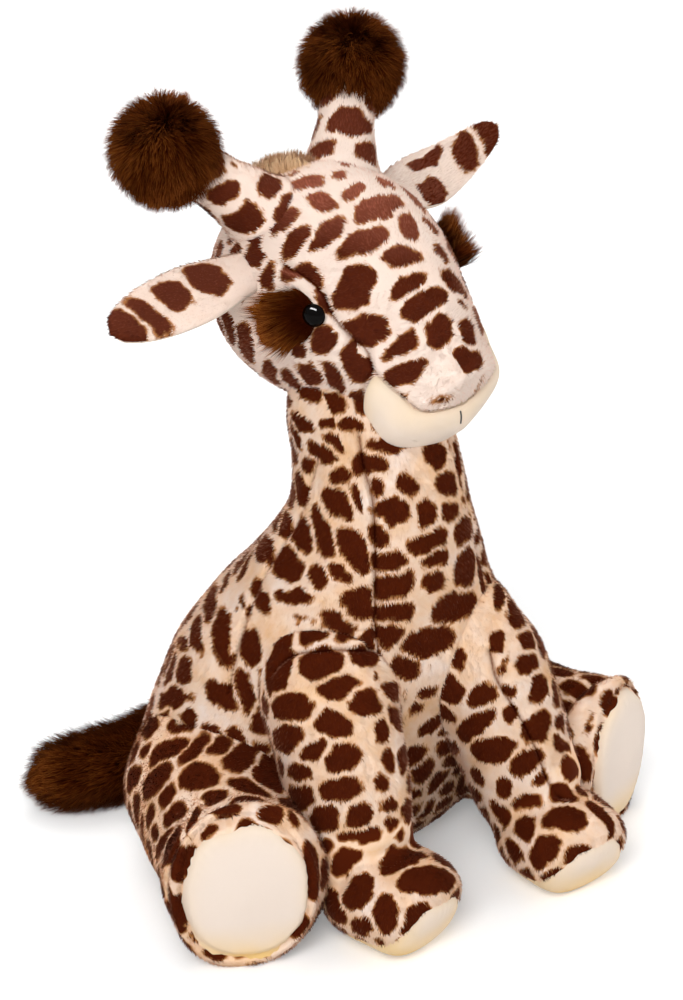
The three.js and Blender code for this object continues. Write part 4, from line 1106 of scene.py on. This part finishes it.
fur_shader = add_node(brown_fur, "BsdfPrincipled",
                      {"Roughness": 0.7, "Specular IOR Level": 0.0, "Sheen Weight": 0.4, "Sheen Roughness": 0.3,
                       "Sheen Tint": hex_colour("#C8703A")},
                      Base_Color=fur_tone.outputs[2])
add_node(brown_fur, "OutputMaterial", Surface=fur_shader)


def fur_core(name, points, faces, body, material, slot, node):
    """The backing under long fur."""
    mesh = new_mesh(name, points, facing_out(points, faces), material)
    paint(mesh, along=0, shade=0)
    add_piece(name, mesh, body, slot, node)


def long_fur(name, places, ways, comb, length, width, lean, body, seed, material, slot, bright, locks=0.5):
    """Long hairs in loose locks: each follows the comb, bent by its lock and a little by itself. One stands
    for a few real ones, which are too fine to show."""
    rng = np.random.default_rng(seed)
    count = len(places)
    comb = comb + ripples(places, 7 * mm, seed) * locks + ripples(places, 2.5 * mm, seed + 1) * 0.45
    length = length * (1 + ripple(places, 4 * mm, seed + 2) * locks * 0.4)
    values = {"shade": np.clip(rng.random(count) ** 1.4 * bright * (1 + ripple(places, 14 * mm, seed + 3)), 0, 3)}
    fur(name, places, ways, comb, length * rng.uniform(0.6, 1.1, count), width,
        np.clip(lean + rng.normal(0, 0.15, count), 0.02, 1.4), 0.35, body, slot, material, values, rng)


horn_patches = {
    "right": [(-55, 45, 69, 9, -9, 6, 9), (-55, 32, 56, 3, -4, 8, 8), (-48, 24, 44, 7, -7, 6, 8.5),
              (-42, 38, 67, 6, -5, 2, 4)],
    "left": [(36, 37, 61, 15, -13, 1, 9), (19.4, 36, 50, 5, -5, 7, 8), (36.5, 20, 51.5, 10, -6, 2, 7.5),
             (58.8, 39.6, 62, 3, -3, 6, 7), (30, 30, 48, 3, -3, 1, 3)]}


class HornPrint(Print):
    """The print on the horn stems, with the brown painted paler where the pile faces up: a painted sheen, as on the
    crown beside them.
    """
    tan = 0.05

    def pale(self, ways):
        return 0.15 + 0.2 * np.maximum(ways[:, 2], 0)


sides = (("right", -1), ("left", 1))
for word, side in sides:
    root, tip = np.array([side * 32, 31, 39.0]), np.array([side * 68, 66, 70.0])
    stem_radius, pompom_radius = 19, 21 * mm
    # Shares of the way from root to tip, and of the radius.
    girths = [(-0.3, 0), (-0.25, 1), (0, 1), (0.35, 0.8), (0.7, 0.7), (0.79, 0.55), (0.82, 0)]
    rows = [tuple(root + (tip - root) * t) + (girth * stem_radius, girth * stem_radius) for t, girth in girths]
    points, faces = stuffed(rows, (0, 0, 1), 60, 60)
    points = on_head(points)
    faces = facing_out(points, faces)
    points = filleted(points, faces, [head_plain_tree], 8 * mm)
    points, faces = worked(points, faces, "SUBSURF", levels=1)
    stem_print = HornPrint(points, faces, one_panel, [((1, 0, 0), 1.5, (15, 20), (4, 6), (11, 15))], 61 + side,
                           laid(horn_patches[word], on_head, head_turn))
    printed_cover(f"horn_stem_plush_{word}", points, faces, f"horn_{word}", stem_print, [], f"horn_stem_{word}")
    printed_pile(f"horn_stem_pile_{word}", points, faces, f"horn_{word}", stem_print, head_turn @ (tip - root), [],
                 lambda places, ways: deep_inside(places, [head_plain_tree], 4 * mm), 63 + side, 0.9)
    ball = bpy.data.meshes.new("ball")
    made = bmesh.new()
    bmesh.ops.create_icosphere(made, subdivisions=4, radius=pompom_radius)
    made.to_mesh(ball)
    made.free()
    centre = on_head(tip) - np.array([0, 0, 1.5 * mm])
    core = np.array([v.co for v in ball.vertices]) + centre
    core_faces = [list(p.vertices) for p in ball.polygons]
    fur_core(f"pompom_core_{word}", core, core_faces, f"horn_{word}", brown_fur, "brown_fur", f"horn_pompom_{word}")
    rng = np.random.default_rng(65 + side)
    places, ways = sown(core, core_faces, 26000, rng)
    long_fur(f"pompom_fur_{word}", places, ways, (0.0, 0.0, -0.7), 12.5 * mm, 0.46 * mm, 0.4, f"horn_{word}",
             67 + side, brown_fur, "brown_fur", 0.75)


# Ears: two leaves sewn edge to edge, printed plush behind and above, smooth cream cloth below,
# with the cloth rolling up over the lower edge.
ear_places = {"right": ((-56, 11, 18), (-143, 17, 16.5)), "left": ((54, 11, 22), (139, 17, 22))}
ear_length, ear_half_width = 83, 16.5
# Along the ear, across it, half length and half width, as shares of its length and half width.
ear_patches = {"right": [(0.26, 0.2, 0.11, 0.65), (0.52, 0.25, 0.095, 0.55), (0.735, 0.1, 0.055, 0.8),
                         (0.91, 0.15, 0.095, 0.7)],
               "left": [(0.34, -0.25, 0.12, 0.45), (0.48, 0.75, 0.18, 0.2), (0.76, 0.3, 0.075, 0.55),
                        (0.93, 0.2, 0.07, 0.75)]}


class EarPrint:
    """A row of slanting patches along an ear."""
    tan = 0.1

    def pale(self, ways):
        # A painted sheen: the brown paler and redder where the pile faces up.
        return 0.1 + 0.35 * np.maximum(ways[:, 2], 0)

    def __init__(self, ends, patches):
        self.root, self.tip = (np.array(end, float) for end in ends)
        self.patches = patches

    def depth(self, places):
        wander = ripples(places, 9 * mm, 77) * 3 * mm + ripples(places, 3 * mm, 78) * 1.2 * mm
        p = in_head(places + wander) - self.root
        run = self.tip - self.root
        t = p @ run / (run @ run)
        w = p[:, 1] / ear_half_width
        best = np.full(len(places), -1.0)
        for at, off, half_long, half_wide in self.patches:
            along, across = np.abs((t - at - 0.06 * (w - off)) / half_long), np.abs((w - off) / half_wide)
            inside = 1 - (along ** 2.8 + across ** 2.8) ** (1 / 2.8)
            best = np.maximum(best, inside * half_long * ear_length * mm)
        return best


for word, side in sides:
    root, tip = (np.array(end, float) for end in ear_places[word])
    # Shares of the way from root to tip, of the half width and of the half thickness.
    widths = [(-0.12, 0, 0), (-0.08, 0.6, 0.9), (0.08, 0.78, 1), (0.38, 1, 1), (0.7, 0.9, 0.85), (0.93, 0.52, 0.6),
              (1, 0, 0)]
    end_half_width = ear_half_width if side < 0 else 14.5
    rows = [tuple(root + (tip - root) * t) + (w * (ear_half_width if t < 0.5 else end_half_width), thick * 6)
            for t, w, thick in widths]
    slant = math.radians(20)
    across = (0, math.cos(slant), math.sin(slant))
    points, faces = stuffed(rows, across, 64, 60)
    along_ear = (points - root) @ (tip - root) / ((tip - root) @ (tip - root))
    over_ear = np.cross(across, tip - root)
    over_ear = over_ear / np.linalg.norm(over_ear) * np.sign(over_ear[2])
    off = (points - root) @ np.array(across) / ear_half_width
    # The left ear sags in its middle and curls up at its tip.
    curl = np.clip((along_ear - 0.5) / 0.5, 0, 1) ** 2 * (11 if side > 0 else 1.5)
    curl -= np.sin(np.clip(along_ear, 0, 1) * np.pi) * (12 if side > 0 else 0)
    points += over_ear * (off ** 2 * 3.0 + curl)[:, None]
    points = on_head(points)
    faces = facing_out(points, faces)
    points, faces = worked(points, faces, "SUBSURF", levels=1)
    way = head_turn @ over_ear
    front_edge = head_turn @ np.array(across)
    normals = outward(points, faces)

    def printed_side(places, ways, way=way, front_edge=front_edge, root=root, run=tip - root):
        share = (in_head(places) - root) @ run / (run @ run)
        return ways @ way + 0.55 * (ways @ front_edge) > 0.32 - 0.5 * share

    outer = printed_side(np.array([points[face].mean(0) for face in faces]),
                         np.array([normals[face].mean(0) for face in faces]))
    upper = [face for face, printed in zip(faces, outer) if printed]
    lower = [face for face, printed in zip(faces, outer) if not printed]
    ear_print = EarPrint(ear_places[word], ear_patches[word])
    printed_cover(f"ear_back_plush_{word}", points, upper, f"ear_{word}", ear_print, [], f"ear_back_{word}")
    printed_pile(f"ear_pile_{word}", points, faces, f"ear_{word}", ear_print, head_turn @ (tip - root), [],
                 lambda places, ways: ~printed_side(places, ways) | deep_inside(places, [head_plain_tree], 4 * mm),
                 73 + side, 0.9)
    lining_mesh = new_mesh(f"ear_lining_cloth_{word}", points, lower, sole_cloth)
    paint(lining_mesh, edge=0.25)
    lining = add_piece(f"ear_lining_cloth_{word}", lining_mesh, f"ear_{word}", "cream_cloth", f"ear_lining_{word}")


# Eyes: black safety eyes, each a polished dome on a shank through the cloth, with a patch of long
# brown fur sewn behind it and combed back and down.

# Black polystyrene, moulded and polished: no colour of its own, only one small sharp glint.
eye_black = new_material("polished_polystyrene_eye")
eye_shader = add_node(eye_black, "BsdfPrincipled",
                      {"Base Color": hex_colour("#040201"), "Roughness": 0.06, "IOR": 1.45,
                        "Specular IOR Level": 0.07})
add_node(eye_black, "OutputMaterial", Surface=eye_shader)
for word, side in sides:
    start = on_head((0, -36, 22))
    hit, _, _, _ = head_plain_tree.ray_cast(Vector(start), Vector(head_turn @ (side, 0, 0)))
    out = head_turn @ np.array([side * 0.9, -0.33, 0.28])
    out /= np.linalg.norm(out)
    seat = np.array(hit) + out * 1.6 * mm
    across_eye, up_eye, _ = frame_across(out)
    # The shank, 4 mm thick, and the rim and dome of the eye, each as radius and height.
    dome_radius, rim_height, dome_height = 6.2, 0.8, 3.7
    profile = [(0, -4.5), (2, -4.5), (2, 0), (5.9, 0), (6.1, 0.3), (dome_radius, rim_height)]
    profile += [(dome_radius * math.cos(a), rim_height + dome_height * math.sin(a))
                for a in np.radians(range(6, 91, 6))]
    spokes = 64
    turns = [2 * math.pi * k / spokes for k in range(spokes)]
    points = [seat + out * h * mm + (across_eye * math.cos(a) + up_eye * math.sin(a)) * r * mm
              for r, h in profile for a in turns]
    faces = [[a + k, a + (k + 1) % spokes, a + spokes + (k + 1) % spokes, a + spokes + k]
             for a in range(0, (len(profile) - 1) * spokes, spokes) for k in range(spokes)]
    block = bmesh.new()
    verts = [block.verts.new(p) for p in points]
    for face in faces:
        block.faces.new([verts[k] for k in face])
    bmesh.ops.remove_doubles(block, verts=block.verts[:], dist=1e-6)
    eye_mesh = bpy.data.meshes.new(f"safety_eye_{word}")
    block.to_mesh(eye_mesh)
    block.free()
    eye_points = np.array([v.co for v in eye_mesh.vertices])
    eye_faces = facing_out(eye_points, [list(p.vertices) for p in eye_mesh.polygons])
    eye_mesh = new_mesh(f"safety_eye_{word}", eye_points, eye_faces, eye_black)
    add_piece(f"safety_eye_{word}", eye_mesh, "head", "eye_plastic", f"eye_{word}")
    rng = np.random.default_rng(83 + side)
    places, ways = sown(head_points, head_faces, 500000, rng)
    eye_far = np.linalg.norm(places - seat, axis=1)
    rooted = (eye_patch_reach(places, side) < 1) & (eye_far > 5 * mm)
    places, ways, eye_far = places[rooted], ways[rooted], eye_far[rooted]
    from_eye = places - seat
    comb = from_eye / np.linalg.norm(from_eye, axis=1)[:, None] * (1 if side < 0 else 0.2)
    comb += head_turn @ ((0, 0.5, -0.5) if side < 0 else (0, 0.8, 0.4))
    centres = np.array([head_points[face].mean(0) for face in head_faces])
    patch_faces = [head_faces[k] for k in np.flatnonzero(eye_patch_reach(centres, side) < 0.97)]
    patch_mesh = new_mesh(f"eye_patch_cloth_{word}", head_points + outward(head_points, head_faces) * 0.6 * mm,
                          patch_faces, brown_fur)
    paint(patch_mesh, along=0, shade=0)
    add_piece(f"eye_patch_cloth_{word}", patch_mesh, "head", "brown_fur", f"eye_fur_patch_{word}")
    # Short and almost black beside the eye, long and ginger-tipped further off.
    near = np.clip((eye_far / mm - 3) / 13, 0.25 if side < 0 else 0.85, 1)
    bright = np.clip((eye_far / mm - 9) / 6, 0, 3) if side < 0 else 3.5
    long_fur(f"eye_patch_fur_{word}", places, ways, comb, (17 if side < 0 else 21) * mm * near, 0.34 * mm,
             0.55 if side < 0 else 0.22, "head", 87 + side, brown_fur, "brown_fur", bright, 0.9)


# Mane tuft: a pinch of long tan acrylic fur, caught in the crown seam between the horns. Its hairs
# stand up and fan out.

# The same acrylic fur undyed: tan at its roots, pale at its tips, with a soft sheen.
tan_fur = new_material("long_pile_acrylic_fur_tan")
tan_along = add_node(tan_fur, "Attribute", {"attribute_name": "along"})
tan_tone = add_node(tan_fur, "Mix", {"data_type": "RGBA", 6: hex_colour("#CF9460"), 7: hex_colour("#F6D3A8")},
                    _0=tan_along.outputs["Fac"])
tan_shader = add_node(tan_fur, "BsdfPrincipled", {"Roughness": 0.7, "Specular IOR Level": 0.0, "Sheen Weight": 0.2},
                      Base_Color=tan_tone.outputs[2])
add_node(tan_fur, "OutputMaterial", Surface=tan_shader)
slope = math.radians(42)
run = np.array([0, -math.cos(slope), math.sin(slope)])
rows = [tuple(np.array([0, 44, 34]) + run * t) + (girth, girth) for t, girth in
        [(-21, 0), (-20, 3), (-13, 6), (0, 7), (13, 6), (20, 3), (21, 0)]]
mane_points, mane_faces = stuffed(rows, (1, 0, 0), 40, 36)
mane_points = on_head(mane_points)
fur_core("mane_core", mane_points, mane_faces, "head", tan_fur, "tan_fur", "mane_tuft")
rng = np.random.default_rng(91)
places, ways = sown(mane_points, mane_faces, 7000, rng)
long_fur("mane_fur", places, ways, head_turn @ (0, 0.3, 1), 10 * mm, 0.45 * mm, 0.5, "head", 93, tan_fur, "tan_fur",
         0.5)


# Tail: a stuffed roll of the same long brown fur, sewn to the rump. It lies on the floor, round to
# the toy's right.
tail_rows = [(0, 0, 1.4, 0), (0.043, 0.014, 1.35, 0.9), (0.319, 0.087, 1.12, 1.05), (0.565, 0.072, 1, 1.05),
             (0.754, 0.087, 1, 1), (0.913, 0.138, 0.95, 0.8), (1, 0.167, 0.9, 0)]
tail_length, tail_root, tail_height, tail_radius = 137, 180, 19, 17.5
tail_points, tail_faces = stuffed([
    (-out * tail_length, tail_root + behind * 138, lift * tail_height, girth * tail_radius, girth * tail_radius)
    for out, behind, lift, girth in tail_rows], (0, 0, 1), 60, 70)
tail_points = off_floor(round_filling(in_place(tail_points), "tail_filling"), 0.5 * mm)
fur_core("tail_core", tail_points, tail_faces, "tail", brown_fur, "brown_fur", "tail_cover")
rng = np.random.default_rng(95)
places, ways = sown(tail_points, tail_faces, 38000, rng)
stay = places[:, 2] > 1.5 * mm
# Its end is combed out to ginger tips.
tail_end = np.clip((-places[stay][:, 0] / mm - 98) / 30, 0, 1)
long_fur("tail_fur", places[stay], ways[stay], (-1.0, 0.1, 0.0), 14 * mm, 0.42 * mm, 0.6, "tail", 97,
         brown_fur, "brown_fur", 0.3 + tail_end * 0.8, 0.3)


# Mouth stitch: one short black thread of twisted polyester, sewn down the front of the chin and
# pulled tight onto its cloth.

# Twisted polyester: dull black, with plies 0.35 mm apart that break up what shine there is.
black_thread = new_material("twisted_polyester_thread")
thread_place = add_node(black_thread, "NewGeometry")
twist = add_node(black_thread, "TexWave", {"Scale": 900.0}, Vector=thread_place)
thread_bump = add_node(black_thread, "Bump", {"Strength": 0.4, "Distance": 0.0002}, Height=twist)
thread_shader = add_node(black_thread, "BsdfPrincipled",
                         {"Base Color": hex_colour("#17100C"), "Roughness": 0.7}, Normal=thread_bump)
add_node(black_thread, "OutputMaterial", Surface=thread_shader)
chin_tree = tree_of(chin_points, chin_faces)
thread = []
for lift in np.linspace(-17, -24, 12):
    hit, normal, _, _ = chin_tree.ray_cast(Vector(on_head((-4.2, -140, lift))), Vector(head_turn @ (0, 1, 0)))
    if hit:
        thread.append(np.array(hit) + head_turn @ (0, -0.3, 0) * mm)
thread_radius = 0.42
rows = [tuple(p / mm + middle) + (thread_radius, thread_radius) for p in thread]
rows = [rows[0][:3] + (0, 0)] + rows + [rows[-1][:3] + (0, 0)]
rows = [tuple(np.array(r) + (0, 0, 0.02 * k, 0, 0)) for k, r in enumerate(rows[::-1])]
thread_points, thread_faces = stuffed(rows, (1, 0, 0), 12, 40)
thread_points = in_place(thread_points)
thread_faces = facing_out(thread_points, thread_faces)
add_piece("mouth_thread", new_mesh("mouth_thread", thread_points, thread_faces, black_thread), "head", "black_thread",
          "mouth_stitch")


# Inside, out of sight: polyester fibre fills each cover loosely, a calico bag of pellets lies in the
# seat, and a plastic washer locks each eye's shank behind the cloth. The CAD nodes themselves are shown.
inside = {}
# Loose fibre is white and quite matt, a moulded washer off-white with a dull gloss.
for word, name, scale, detail, dark, light, roughness in (
        ("filling", "polyester_fibre_filling", 400.0, 4.0, "#E9E6DF", "#FFFFFF", 1.0),
        ("washer", "moulded_polypropylene_washer", 900.0, 2.0, "#E4E1DA", "#F2F0EA", 0.45)):
    inside[word] = material = new_material(name)
    inner_place = add_node(material, "NewGeometry")
    mottle = add_node(material, "TexNoise", {"Scale": scale, "Detail": detail}, Vector=inner_place)
    tone = add_node(material, "Mix", {"data_type": "RGBA", 6: hex_colour(dark), 7: hex_colour(light)}, _0=mottle)
    inner_shader = add_node(material, "BsdfPrincipled", {"Roughness": roughness}, Base_Color=tone.outputs[2])
    add_node(material, "OutputMaterial", Surface=inner_shader)
inside["pellet_bag"] = pellet_cloth = new_material("calico_pellet_bag")
pellet_place = add_node(pellet_cloth, "NewGeometry")
# Pellets of 4 mm show through the calico as bumps.
pellet_cells = add_node(pellet_cloth, "TexVoronoi", {"Scale": 250.0}, Vector=pellet_place)
pellet_bump = add_node(pellet_cloth, "Bump", {"Strength": 0.5, "Distance": 0.001}, Height=pellet_cells)
pellet_shader = add_node(pellet_cloth, "BsdfPrincipled", {"Base Color": hex_colour("#D9D3C4"), "Roughness": 0.9},
                         Normal=pellet_bump)
add_node(pellet_cloth, "OutputMaterial", Surface=pellet_shader)
for name, node in frame["nodes"].items():
    for word, material in inside.items():
        if word in name:
            node.data.materials.clear()
            node.data.materials.append(material)
